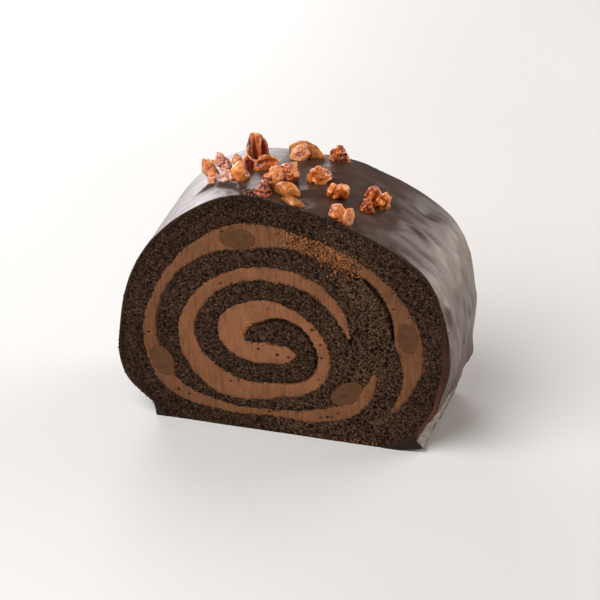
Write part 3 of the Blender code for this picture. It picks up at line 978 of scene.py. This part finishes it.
def chopped_lump(draw):
    """A lump with flat chopped sides that just fills a box of size 1, its floor at height 0."""
    shape = bmesh.new()
    bmesh.ops.create_icosphere(shape, subdivisions=2, radius=0.5)
    for vert in shape.verts:
        vert.co *= 1 + draw.uniform(-NUT_JITTER, NUT_JITTER)
    for _ in range(NUT_CHOPS):
        side = Vector((draw.uniform(-1, 1), draw.uniform(-1, 1), draw.uniform(-0.2, 1))).normalized()
        reach = draw.uniform(*NUT_CHOP_REACH)
        for vert in shape.verts:
            vert.co -= side * max(0.0, vert.co.dot(side) - reach)
    for vert in shape.verts:
        vert.co.z = max(vert.co.z, NUT_FLOOR)
    places = np.array([vert.co for vert in shape.verts])
    low, high = places.min(axis=0), places.max(axis=0)
    middle = (low + high) / 2
    bmesh.ops.translate(shape, verts=shape.verts, vec=(-middle[0], -middle[1], -low[2]))
    bmesh.ops.scale(shape, verts=shape.verts, vec=Vector(1 / (high - low)))
    return shape


def nut_detail(kind, places, seed):
    """How far each place of a nut piece stands out, in millimetres, by its kind."""
    chipped = 0.12 * np.abs(soft_noise(places, 0.8, seed + 3)) + 0.05 * soft_noise(places, 0.35, seed + 1)
    if kind == "crystal":
        coarse, fine = CRYSTAL_CHIPS
        chips = np.abs(soft_noise(places, coarse, seed)) + 0.5 * np.abs(soft_noise(places, fine, seed + 2))
        return CRYSTAL_HEIGHT * (chips - 0.3) + chipped
    if kind == "almond":
        size, high, grain_size, grain_high = ALMOND_WRINKLES
        wrinkles = soft_noise(places, size, seed)
        return high * wrinkles + grain_high * soft_noise(places, grain_size, seed + 2) + 0.3 * chipped
    size, high, grain_size, grain_high = NUT_RIDGES[kind]
    ridges = 1 - 2 * np.abs(soft_noise(places, size, seed))
    return high * ridges + grain_high * soft_noise(places, grain_size, seed + 2) + chipped


def chopped_faces(places, kind, draw):
    """Cuts flat facets on a lump's places, and says how pale the cut is that each place lies on."""
    count, reach = NUT_FACETS[kind]
    tone = np.full(len(places), NUT_SKIN_TONE)
    middle = places.mean(axis=0)
    for _ in range(count):
        side = np.array([draw.uniform(-1, 1), draw.uniform(-1, 1), draw.uniform(-0.3, 1)])
        side /= np.linalg.norm(side)
        height = (places - middle) @ side
        over = height - height.max() * draw.uniform(reach, NUT_FACET_FARTHEST)
        cut = over > 0
        places = places - np.outer(np.where(cut, over, 0), side)
        tone[cut] = draw.uniform(-1, 1)
    return places, tone


def nut_mesh(number, across, back, long, wide, high, heading, kind, pale):
    """One nut piece as places in millimetres, triangles and the values for its material."""
    draw = random.Random(NUT_SEED + number)
    shape = chopped_lump(draw)
    bmesh.ops.scale(shape, verts=shape.verts, vec=(long, wide, high + NUT_SINK))
    bmesh.ops.translate(shape, verts=shape.verts, vec=(0, 0, -NUT_SINK))
    bmesh.ops.subdivide_edges(shape, edges=shape.edges, cuts=NUT_CUTS, use_grid_fill=True)
    bmesh.ops.triangulate(shape, faces=shape.faces)
    for _ in range(NUT_ROUNDING):
        bmesh.ops.smooth_vert(
            shape, verts=shape.verts, factor=0.5, use_axis_x=True, use_axis_y=True, use_axis_z=True
        )
    shape.normal_update()
    places = np.array([vert.co for vert in shape.verts])
    normals = np.array([vert.normal for vert in shape.verts])
    pinch = NUT_PINCH[kind] * np.clip(places[:, 2:] / high, 0, 1)
    places[:, :2] *= 1 - pinch
    if kind == "almond":
        taper = np.abs(places[:, 0] * 2 / long) ** ALMOND_POINT
        places[:, 1] *= 1 - ALMOND_TAPER * taper
        places[:, 2] *= 1 - ALMOND_TAPER * taper / 2
    detail = nut_detail(kind, places + number * 10.0, number)
    places, tone = chopped_faces(places + normals * detail[:, None], kind, draw)
    places[:, 2] = np.maximum(places[:, 2], -NUT_SINK)
    slope = math.atan((roof(across + 1, back) - roof(across - 1, back)) / 2)
    seat = Matrix.Translation((across, back, roof(across, back)))
    seat @= Matrix.Rotation(-slope, 4, "Y") @ Matrix.Rotation(math.radians(heading), 4, "Z")
    seat = np.array(seat)
    places = places @ seat[:3, :3].T + seat[:3, 3]
    faces = np.array([[vert.index for vert in face.verts] for face in shape.faces])
    shape.free()
    values = {
        "pale": np.clip(pale + NUT_TONE_SPREAD * tone, 0, 1),
        # The relief height, which the material also reads to paint shade into the creases and light onto the
        # ridges
        "detail": detail,
        "sugar": np.full(len(places), NUT_SUGAR.get(number, NUT_SUGAR_ELSEWHERE)),
    }
    return places, faces, values


def joined_meshes(name, meshes):
    """One piece from many small meshes, each of places, faces and values by name."""
    starts = np.cumsum([0] + [len(mesh[0]) for mesh in meshes])
    places = np.concatenate([mesh[0] for mesh in meshes])
    faces = np.concatenate([mesh[1] + start for mesh, start in zip(meshes, starts)])
    values = {label: np.concatenate([mesh[2][label] for mesh in meshes]) for label in meshes[0][2]}
    piece = piece_from(name, places, faces.tolist(), True, values)
    piece.data.set_sharp_from_angle(angle=NUT_EDGE)
    return piece


def lump_mesh(draw, place, size, tone):
    """A crumb: a small crooked lump at a place in millimetres."""
    shape = bmesh.new()
    bmesh.ops.create_icosphere(shape, subdivisions=1, radius=0.5)
    stretch = Vector((draw.uniform(0.7, 1.2), draw.uniform(0.6, 1.0), draw.uniform(0.7, 1.2))) * size
    for vert in shape.verts:
        vert.co *= draw.uniform(0.7, 1.25)
        vert.co *= stretch
    turn = Matrix.Rotation(draw.uniform(0, math.tau), 3, "Y")
    turn @= Matrix.Rotation(draw.uniform(0, math.tau), 3, "X")
    places = np.array([turn @ vert.co + Vector(place) for vert in shape.verts])
    faces = np.array([[vert.index for vert in face.verts] for face in shape.faces])
    shape.free()
    return places, faces, {"pale": np.full(len(places), tone)}


def crumbs_on_face(draw, centres, spread, count, sizes, tones):
    """Crumbs that cling to the cut face around a line of places, across and up."""
    meshes = []
    for _ in range(count):
        across, up = draw.choice(centres)
        across += draw.gauss(0, spread)
        up += draw.gauss(0, spread)
        size = draw.uniform(*sizes)
        if up > size:
            meshes.append(lump_mesh(draw, (across, FRONT - 0.1 * size, up), size, draw.uniform(*tones)))
    return meshes


def borders_clear_of_ganache():
    """Places along the edges of the cream, away from the ganache pieces."""
    borders = np.concatenate([band_outline(band, 0.0, 1.0) for band in (INNER_BAND, OUTER_BAND)])
    gaps = [np.hypot(*(borders - piece[:2]).T) - piece[2] for piece in GANACHE]
    return borders[np.min(gaps, axis=0) > CLEAR_OF_GANACHE].tolist()


class Nodes:
    """A short way to lay out a material's nodes."""

    def __init__(self, name):
        self.material = bpy.data.materials.new(name)
        self.material.use_nodes = True
        self.tree = self.material.node_tree
        self.shader = self.tree.nodes["Principled BSDF"]
        self.place = self.add("ShaderNodeTexCoord").outputs["Object"]

    def add(self, kind, **settings):
        """A new node of a kind, with its settings."""
        node = self.tree.nodes.new(kind)
        for name, value in settings.items():
            setattr(node, name, value)
        return node

    def link(self, source, target):
        self.tree.links.new(source, target)

    def value(self, name):
        """One of the piece's own values."""
        return self.add("ShaderNodeAttribute", attribute_name=name).outputs["Fac"]

    def noise(self, size, detail=2.0, rough=0.5, stretch=None):
        """Noise whose bumps are about a size in metres."""
        node = self.add("ShaderNodeTexNoise")
        node.inputs["Scale"].default_value = 1 / size
        node.inputs["Detail"].default_value = detail
        node.inputs["Roughness"].default_value = rough
        source = self.place
        if stretch:
            mapping = self.add("ShaderNodeMapping")
            mapping.inputs["Scale"].default_value = stretch
            self.link(self.place, mapping.inputs["Vector"])
            source = mapping.outputs["Vector"]
        self.link(source, node.inputs["Vector"])
        return node.outputs["Fac"]

    def mottle(self, size, low, high, detail=2.0, rough=0.5, stretch=None):
        """Noise that runs from a low to a high number."""
        source = self.noise(size, detail, rough, stretch)
        return self.spread(source, NOISE_LOW, NOISE_HIGH, low, high)

    def total(self, first, *others):
        """The sum of two or more sources."""
        for other in others:
            node = self.add("ShaderNodeMath", operation="ADD")
            self.link(first, node.inputs[0])
            self.link(other, node.inputs[1])
            first = node.outputs[0]
        return first

    def times(self, first, second):
        """A source times a number or another source."""
        node = self.add("ShaderNodeMath", operation="MULTIPLY")
        self.link(first, node.inputs[0])
        if isinstance(second, float):
            node.inputs[1].default_value = second
        else:
            self.link(second, node.inputs[1])
        return node.outputs[0]

    def spread(self, source, low, high, to_low=0.0, to_high=1.0):
        """A source stretched from one range to another and held inside it."""
        node = self.add("ShaderNodeMapRange")
        self.link(source, node.inputs["Value"])
        for name, value in (("From Min", low), ("From Max", high), ("To Min", to_low), ("To Max", to_high)):
            node.inputs[name].default_value = value
        return node.outputs["Result"]

    def ramp(self, source, *stops):
        """Colours along a source, each given with its position."""
        node = self.add("ShaderNodeValToRGB")
        elements = node.color_ramp.elements
        while len(elements) < len(stops):
            elements.new(0.5)
        for element, (position, colour) in zip(elements, stops):
            element.position = position
            element.color = (*colour, 1.0)
        self.link(source, node.inputs["Fac"])
        return node.outputs["Color"]

    def mix(self, share, first, second, blend="MIX"):
        """Two colours, with a share of the second in the first."""
        node = self.add("ShaderNodeMix", data_type="RGBA", blend_type=blend)
        for slot, source in ((0, share), (6, first), (7, second)):
            if isinstance(source, (int, float)):
                node.inputs[slot].default_value = source
            elif isinstance(source, tuple):
                node.inputs[slot].default_value = (*source, 1.0)
            else:
                self.link(source, node.inputs[slot])
        return node.outputs[2]

    def bump(self, height, distance, strength):
        """Fine relief in the shader from a height."""
        node = self.add("ShaderNodeBump")
        node.inputs["Strength"].default_value = strength
        node.inputs["Distance"].default_value = distance
        self.link(height, node.inputs["Height"])
        self.link(node.outputs["Normal"], self.shader.inputs["Normal"])

    def set(self, **values):
        """Numbers for the shader's own inputs, with underscores for the spaces in their names."""
        for name, value in values.items():
            self.shader.inputs[name.replace("_", " ")].default_value = value


def colour_of(name):
    """One of the cake's colours as plain numbers."""
    return tuple(getattr(bpy.context.scene.roll_cake_colours, name))


def shaded(colour, factor):
    """A colour made darker or lighter."""
    return tuple(min(1.0, part * factor) for part in colour)


def crumb_colours():
    """The crumb's colours from its pores to its raised grains."""
    return colour_of("sponge_dark"), colour_of("sponge"), colour_of("sponge_light")


def cocoa_crumb():
    """Sponge: pores darkened with painted shade, brown crumb, and light grains that are partly painted
    highlight.
    """
    nodes = Nodes("cocoa_crumb")
    fleck = nodes.mottle(0.20 * MM, -0.42, 0.40, 3.0, 0.75)
    patch = nodes.mottle(7 * MM, -0.05, 0.05)
    tone = nodes.total(nodes.value("light"), fleck, patch)
    colour = nodes.ramp(tone, *zip((0.0, 0.42, 0.9), crumb_colours()))
    nodes.link(colour, nodes.shader.inputs["Base Color"])
    nodes.set(Roughness=0.95, Specular_IOR_Level=0.04)
    nodes.bump(nodes.noise(0.22 * MM, 3.0, 0.65), 0.12 * MM, 0.7)
    return nodes.material


@functools.lru_cache
def chocolate_cream():
    """Cream: cut smooth, a little uneven in colour, crumbed along its edges."""
    cream = colour_of("cream")
    nodes = Nodes("chocolate_cream")
    patch = nodes.mottle(4.5 * MM, -0.22, 0.22, 4.0, 0.65)
    tone = nodes.total(nodes.value("light"), patch)
    base = nodes.ramp(tone, (0.0, shaded(cream, 0.50)), (0.5, shaded(cream, 0.88)), (1.0, CREAM_EYE))
    grain = nodes.ramp(
        nodes.noise(0.25 * MM, 2.0, 0.7), (NOISE_LOW, (0.72, 0.72, 0.72)), (NOISE_HIGH, (1.24, 1.24, 1.24))
    )
    base = nodes.mix(1.0, base, grain, "MULTIPLY")
    streak = nodes.spread(nodes.noise(0.8 * MM, 2.0, 0.5, stretch=(1, 1, 0.12)), 0.4, 0.7)
    base = nodes.mix(nodes.times(streak, 0.42), base, shaded(cream, 1.5))
    dim = nodes.spread(nodes.noise(0.9 * MM, 3.0, 0.6, stretch=(1, 1, 0.2)), 0.55, 0.75)
    base = nodes.mix(nodes.times(dim, 0.65), base, shaded(cream, 0.40))
    speck = nodes.spread(nodes.noise(0.4 * MM, 2.0, 0.7), 0.40, 0.62)
    crumbs = nodes.ramp(speck, (0.0, shaded(cream, 0.12)), (0.5, shaded(cream, 0.4)), (1.0, cream))
    base = nodes.mix(nodes.value("crumbed"), base, crumbs)
    dusty = nodes.ramp(speck, (0.0, shaded(cream, 0.10)), (0.45, shaded(cream, 0.7)), (1.0, CREAM_CRUMB))
    base = nodes.mix(nodes.value("smear"), base, dusty)
    # Painted shade: the cream is darkened in its holes, pits and crack
    base = nodes.mix(nodes.times(nodes.value("hole"), 0.9), base, shaded(cream, 0.15))
    nodes.link(base, nodes.shader.inputs["Base Color"])
    nodes.set(Roughness=0.65, Specular_IOR_Level=0.18)
    nodes.bump(nodes.noise(0.5 * MM, 3.0, 0.6, stretch=(1, 1, 0.35)), 0.05 * MM, 0.8)
    return nodes.material


@functools.lru_cache
def soft_ganache():
    """Ganache pieces: smooth and darker than the cream, with a soft edge."""
    ganache = colour_of("ganache")
    nodes = Nodes("soft_ganache")
    patch = nodes.mottle(1.6 * MM, 0.0, 1.0, 4.0, 0.65)
    base = nodes.mix(patch, shaded(ganache, 0.72), shaded(ganache, 1.30))
    stray = nodes.mottle(0.8 * MM, -0.25, 0.25, 3.0, 0.6)
    near_edge = nodes.spread(nodes.total(nodes.value("edge"), stray), 0.0, 0.75, 0.75, 0.0)
    base = nodes.mix(near_edge, base, shaded(colour_of("cream"), 0.62))
    nodes.link(base, nodes.shader.inputs["Base Color"])
    nodes.set(Roughness=0.6, Specular_IOR_Level=0.12)
    nodes.bump(nodes.noise(0.6 * MM, 3.0, 0.6), 0.04 * MM, 0.8)
    return nodes.material


def chocolate_glaze():
    """Glaze: dark satin with streaks round the roll, browner where it is cut."""
    glaze, cut = colour_of("glaze"), colour_of("glaze_cut")
    nodes = Nodes("chocolate_glaze")
    on_cut = nodes.value("cut")
    patch = nodes.mottle(6 * MM, 0.0, 1.0, 3.0, 0.6)
    base = nodes.mix(patch, shaded(glaze, 0.8), shaded(glaze, 1.3))
    edge = nodes.ramp(patch, (0.0, shaded(cut, 0.8)), (1.0, shaded(cut, 1.3)))
    # Painted light mixed into the reddish low right of the cut edge
    edge = nodes.mix(nodes.value("blush"), edge, LIT_BLUSH)
    speckle = nodes.mottle(0.4 * MM, -0.1, 0.8, 3.0, 0.65)
    crumb = nodes.ramp(speckle, *zip((0.0, 0.5, 1.0), crumb_colours()))
    edge = nodes.mix(nodes.value("crumbed"), edge, crumb)
    # Painted shade on the cut edge at the feet
    edge = nodes.mix(nodes.value("foot"), edge, FOOT_SHADE)
    base = nodes.mix(on_cut, base, edge)
    nodes.link(base, nodes.shader.inputs["Base Color"])
    satin = nodes.mottle(2.2 * MM, 0.30, 0.46, 4.0, 0.6, stretch=(0.3, 1, 0.3))
    rough = nodes.total(satin, nodes.times(on_cut, 0.3), nodes.times(nodes.value("blush"), 0.2))
    nodes.link(rough, nodes.shader.inputs["Roughness"])
    gloss = nodes.spread(on_cut, 0.0, 1.0, 0.5, 0.12)
    nodes.link(gloss, nodes.shader.inputs["Specular IOR Level"])
    nodes.bump(nodes.noise(0.8 * MM, 5.0, 0.7, stretch=(0.6, 1, 0.6)), 0.07 * MM, 0.8)
    return nodes.material


def caramel_nut(name, dark, main, pale):
    """Nut pieces in glossy caramel, with sugar grains here and there."""
    nodes = Nodes(name)
    mottle = nodes.mottle(1.1 * MM, -0.46, 0.28, 4.0, 0.65)
    # Painted shade and light: the relief height darkens the creases and lightens the ridges
    tone = nodes.total(nodes.value("pale"), mottle, nodes.times(nodes.value("detail"), 1.3))
    colour = nodes.ramp(tone, (0.0, dark), (0.55, main), (1.0, pale))
    sugar = nodes.value("sugar")
    grains = nodes.total(nodes.noise(0.45 * MM, 2.0, 0.6), nodes.times(sugar, 0.15))
    clumps = nodes.total(nodes.noise(2.2 * MM, 2.0, 0.5), nodes.times(sugar, 0.16))
    sugared = nodes.times(nodes.spread(grains, 0.60, 0.68), nodes.spread(clumps, 0.47, 0.62))
    colour = nodes.mix(nodes.times(sugared, 0.9), colour, colour_of("sugar"))
    nodes.link(colour, nodes.shader.inputs["Base Color"])
    nodes.set(
        Roughness=0.38, Specular_IOR_Level=0.35, Coat_Weight=0.32, Coat_Roughness=0.06,
        Subsurface_Weight=0.15, Subsurface_Scale=0.6 * MM, Subsurface_Radius=(1.0, 0.35, 0.12),
    )
    nodes.bump(nodes.noise(0.5 * MM, 3.0, 0.65), 0.13 * MM, 0.9)
    return nodes.material


def lump_material(name, *tones):
    """A crumb's material, from its darkest to its lightest colour."""
    nodes = Nodes(name)
    fleck = nodes.mottle(0.3 * MM, -0.15, 0.15, 2.0, 0.6)
    stops = [(number / (len(tones) - 1), tone) for number, tone in enumerate(tones)]
    colour = nodes.ramp(nodes.total(nodes.value("pale"), fleck), *stops)
    nodes.link(colour, nodes.shader.inputs["Base Color"])
    nodes.set(Roughness=0.85, Specular_IOR_Level=0.1)
    nodes.bump(nodes.noise(0.2 * MM, 3.0, 0.6), 0.06 * MM, 0.7)
    return nodes.material


def pale_floor():
    """The stage's plain floor."""
    floor = tuple(bpy.context.scene.roll_cake_stage.floor)
    nodes = Nodes("pale_floor")
    patch = nodes.mottle(200 * MM, 0.0, 1.0, 3.0, 0.5)
    nodes.link(nodes.mix(patch, shaded(floor, 0.98), shaded(floor, 1.02)), nodes.shader.inputs["Base Color"])
    nodes.set(Roughness=0.6, Specular_IOR_Level=0.3)
    nodes.bump(nodes.noise(1.5 * MM, 2.0), 0.02 * MM, 0.3)
    return nodes.material


class RollCakeSponge(Operator):
    """Makes the sponge with its open crumb"""

    bl_idname = "roll_cake.sponge"
    bl_label = "Sponge"

    def execute(self, context):
        seed = context.scene.roll_cake_crumb.seed
        places, edge_far = face_values("sponge")
        front, front_light = sponge_relief(places, edge_far, seed, True)
        back, back_light = sponge_relief(places, edge_far, seed + 100, False)
        values = {"light": np.concatenate([front_light, back_light])}
        piece = slab("sponge_crumb", "sponge", front, back, values)
        finished(piece, cocoa_crumb(), "sponge", "sponge")
        return {"FINISHED"}


class RollCakeCream(Operator):
    """Makes the two strips of cream"""

    bl_idname = "roll_cake.cream"
    bl_label = "Cream"

    def execute(self, context):
        seed = context.scene.roll_cake_crumb.seed
        for region in ("cream_inner", "cream_outer"):
            places, edge_far = face_values(region)
            front, front_values = cream_relief(places, edge_far, seed + 50, True)
            back, back_values = cream_relief(places, edge_far, seed + 150, False)
            values = {name: np.concatenate([front_values[name], back_values[name]]) for name in front_values}
            piece = slab(region + "_cut", region, front, back, values)
            finished(piece, chocolate_cream(), "cream", region)
        return {"FINISHED"}


class RollCakeGanache(Operator):
    """Makes the soft ganache pieces in the cream"""

    bl_idname = "roll_cake.ganache"
    bl_label = "Ganache pieces"

    def execute(self, context):
        seed = context.scene.roll_cake_crumb.seed
        for number in range(1, len(GANACHE) + 1):
            region = f"ganache_{number}"
            places, edge_far = face_values(region)
            front = ganache_relief(places, edge_far, seed + 60 + number)
            back = ganache_relief(places, edge_far, seed + 160 + number)
            values = {"edge": np.tile(edge_far, 2)}
            piece = slab(region + "_cut", region, front, back, values)
            finished(piece, soft_ganache(), "ganache", region)
        return {"FINISHED"}


class RollCakeGlaze(Operator):
    """Makes the glaze over the roll"""

    bl_idname = "roll_cake.glaze"
    bl_label = "Glaze"

    def execute(self, context):
        finished(build_glaze("glaze_coat"), chocolate_glaze(), "glaze", "glaze")
        return {"FINISHED"}


class RollCakeNuts(Operator):
    """Makes the caramel nut pieces, one object for each kind"""

    bl_idname = "roll_cake.nuts"
    bl_label = "Caramel nuts"

    def execute(self, context):
        caramel = (colour_of("nut_dark"), colour_of("nut"), colour_of("nut_pale"))
        almond = colour_of("almond")
        almond = (shaded(almond, 0.35), almond, shaded(almond, 2.2))
        made = [nut_mesh(number, *row) for number, row in enumerate(NUTS)]
        for kind in NUT_KINDS:
            meshes = [mesh for mesh, row in zip(made, NUTS) if row[6] == kind]
            material = caramel_nut(f"caramel_{kind}", *(almond if kind == "almond" else caramel))
            finished(joined_meshes(f"nuts_{kind}", meshes), material, "nut", "glaze")
        draw = random.Random(NUT_SEED)
        grains = []
        for number, amount in NUT_SUGAR.items():
            places = made[number][0]
            for _ in range(round(SUGAR_GRAINS * amount)):
                place = places[draw.randrange(len(places))]
                grains.append(lump_mesh(draw, place, draw.uniform(*SUGAR_SIZES), draw.uniform(0, 1)))
        sugar = colour_of("sugar")
        material = lump_material("sugar_lump", shaded(sugar, 0.55), sugar, SUGAR_BRIGHT)
        finished(joined_meshes("sugar_grains", grains), material, "nut", "glaze")
        return {"FINISHED"}


class RollCakeCrumbs(Operator):
    """Makes the crumbs that cling to the cut face and to the torn edge of the glaze"""

    bl_idname = "roll_cake.crumbs"
    bl_label = "Crumbs"

    def execute(self, context):
        draw = random.Random(context.scene.roll_cake_crumb.seed)
        dark = crumbs_on_face(draw, borders_clear_of_ganache(), *BORDER_CRUMBS)
        arch = smooth_line(ARCH, 1.0) * ARCH_CRUMBS_IN
        dark += crumbs_on_face(draw, arch.tolist(), *ARCH_CRUMBS)
        rim = moved_in(smooth_line(ARCH, 0.5), RIM_CRUMBS_IN).tolist()
        rim = [place for place in rim if place[1] > RIM_CLEAN_BELOW or place[0] < 0]
        dark += crumbs_on_face(draw, rim, *RIM_CRUMBS)
        material = lump_material("cocoa_lump", *crumb_colours())
        finished(joined_meshes("crumbs_sponge", dark), material, "sponge")

        smear = smooth_line(SMEAR, 0.5).tolist()
        toasted = crumbs_on_face(draw, smear, *SMEAR_CRUMBS)
        toasted += crumbs_on_face(draw, smear[-SMEAR_END_PLACES:], *SMEAR_END_CRUMBS)
        toasted += crumbs_on_face(draw, EYE_CRUMB_LINE, *EYE_CRUMBS)
        toasted += crumbs_on_face(draw, smooth_line(FOOT_CRUMB_LINE, 0.5).tolist(), *FOOT_CRUMBS)
        cream = colour_of("cream")
        material = lump_material("cream_lump", shaded(cream, 0.15), shaded(cream, 0.75), CREAM_CRUMB)
        finished(joined_meshes("crumbs_cream", toasted), material, "cream")

        torn = []
        for _ in range(TORN_CRUMBS):
            across, back = (draw.gauss(*each) for each in zip(TORN_SPOT, TORN_SPREAD))
            back = max(back, FRONT + 0.1)
            place = (across, back, roof(across, back) + 0.05)
            torn.append(lump_mesh(draw, place, draw.uniform(*TORN_SIZES), draw.uniform(0, 1)))
        material = lump_material("glaze_lump", *TORN_GLAZE)
        finished(joined_meshes("crumbs_glaze", torn), material, "glaze")
        return {"FINISHED"}


class RollCakeStage(Operator):
    """Makes the floor, the lights and the camera"""

    bl_idname = "roll_cake.stage"
    bl_label = "Stage"

    def execute(self, context):
        settings = context.scene.roll_cake_stage
        corners = [(-1, -1, 0), (1, -1, 0), (1, 1, 0), (-1, 1, 0)]
        floor = piece_from("floor", np.array(corners) * FLOOR_HALF, [(0, 1, 2, 3)], False)
        floor.data.materials.append(pale_floor())
        for name, (azimuth, elevation, distance, size, driver, share, colour) in LIGHTS.items():
            soft_light(name, azimuth, elevation, distance, size, getattr(settings, driver) * share, colour)
        world = bpy.data.worlds.new("even_light")
        world.use_nodes = True
        back = world.node_tree.nodes["Background"]
        back.inputs["Color"].default_value = SKY
        back.inputs["Strength"].default_value = settings.world
        context.scene.world = world
        context.scene.view_settings.view_transform = "Standard"
        set_camera(context, settings.lens)
        return {"FINISHED"}


def soft_light(name, azimuth, elevation, distance, size, power, colour):
    """A square area light that looks at the cake."""
    lamp = bpy.data.lights.new(name, "AREA")
    lamp.shape = "SQUARE"
    lamp.size = size * MM
    lamp.energy = power
    lamp.color = colour
    turn, rise = math.radians(azimuth), math.radians(elevation)
    away = Vector((math.sin(turn) * math.cos(rise), -math.cos(turn) * math.cos(rise), math.sin(rise)))
    light = bpy.data.objects.new(name, lamp)
    light.location = (Vector(LIGHT_AIM) + away * distance) * MM
    light.rotation_euler = (-away).to_track_quat("-Z", "Y").to_euler()
    bpy.context.collection.objects.link(light)


def set_camera(context, lens):
    """The camera in front of the slice, a little to its right and above it."""
    view = bpy.data.cameras.new("camera")
    view.lens = lens
    view.clip_start, view.clip_end = (reach * MM for reach in CAMERA_REACH)
    camera = bpy.data.objects.new("camera", view)
    turn = Matrix.Rotation(CAMERA_AZIMUTH, 4, "Z")
    turn @= Matrix.Rotation(math.pi / 2 - CAMERA_ELEVATION, 4, "X")
    turn @= Matrix.Rotation(CAMERA_ROLL, 4, "Z")
    camera.matrix_world = Matrix.Translation(Vector(CAMERA_PLACE) * MM) @ turn
    bpy.context.collection.objects.link(camera)
    context.scene.camera = camera


class RollCakePanel(Panel):
    """Lists the cake's pieces and settings"""

    bl_idname = "VIEW3D_PT_roll_cake"
    bl_label = "Roll Cake"
    bl_space_type = "VIEW_3D"
    bl_region_type = "UI"
    bl_category = "Roll Cake"

    def draw(self, context):
        for operator in OPERATORS:
            self.layout.operator(operator.bl_idname)
        for group in SETTINGS:
            box = self.layout.box()
            for name in SETTINGS[group].__annotations__:
                box.prop(getattr(context.scene, group), name)


SETTINGS = {
    "roll_cake_crumb": CrumbSettings,
    "roll_cake_glaze": GlazeSettings,
    "roll_cake_colours": ColourSettings,
    "roll_cake_stage": StageSettings,
}
OPERATORS = (
    RollCakeSponge, RollCakeCream, RollCakeGanache, RollCakeGlaze,
    RollCakeNuts, RollCakeCrumbs, RollCakeStage,
)


def register():
    """Makes the settings, the operators and the panel known to Blender."""
    for group in SETTINGS.values():
        bpy.utils.register_class(group)
    for operator in OPERATORS:
        bpy.utils.register_class(operator)
    bpy.utils.register_class(RollCakePanel)
    for name, group in SETTINGS.items():
        setattr(bpy.types.Scene, name, PointerProperty(type=group))


def unregister():
    """Takes out what register put in."""
    for name in SETTINGS:
        delattr(bpy.types.Scene, name)
    bpy.utils.unregister_class(RollCakePanel)
    for kind in (*OPERATORS, *SETTINGS.values()):
        bpy.utils.unregister_class(kind)


def main():
    """Makes the pieces in order."""
    register()
    bpy.ops.roll_cake.sponge()
    bpy.ops.roll_cake.cream()
    bpy.ops.roll_cake.ganache()
    bpy.ops.roll_cake.glaze()
    bpy.ops.roll_cake.nuts()
    bpy.ops.roll_cake.crumbs()
    bpy.ops.roll_cake.stage()
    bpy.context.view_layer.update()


if __name__ == "__main__":
    main()
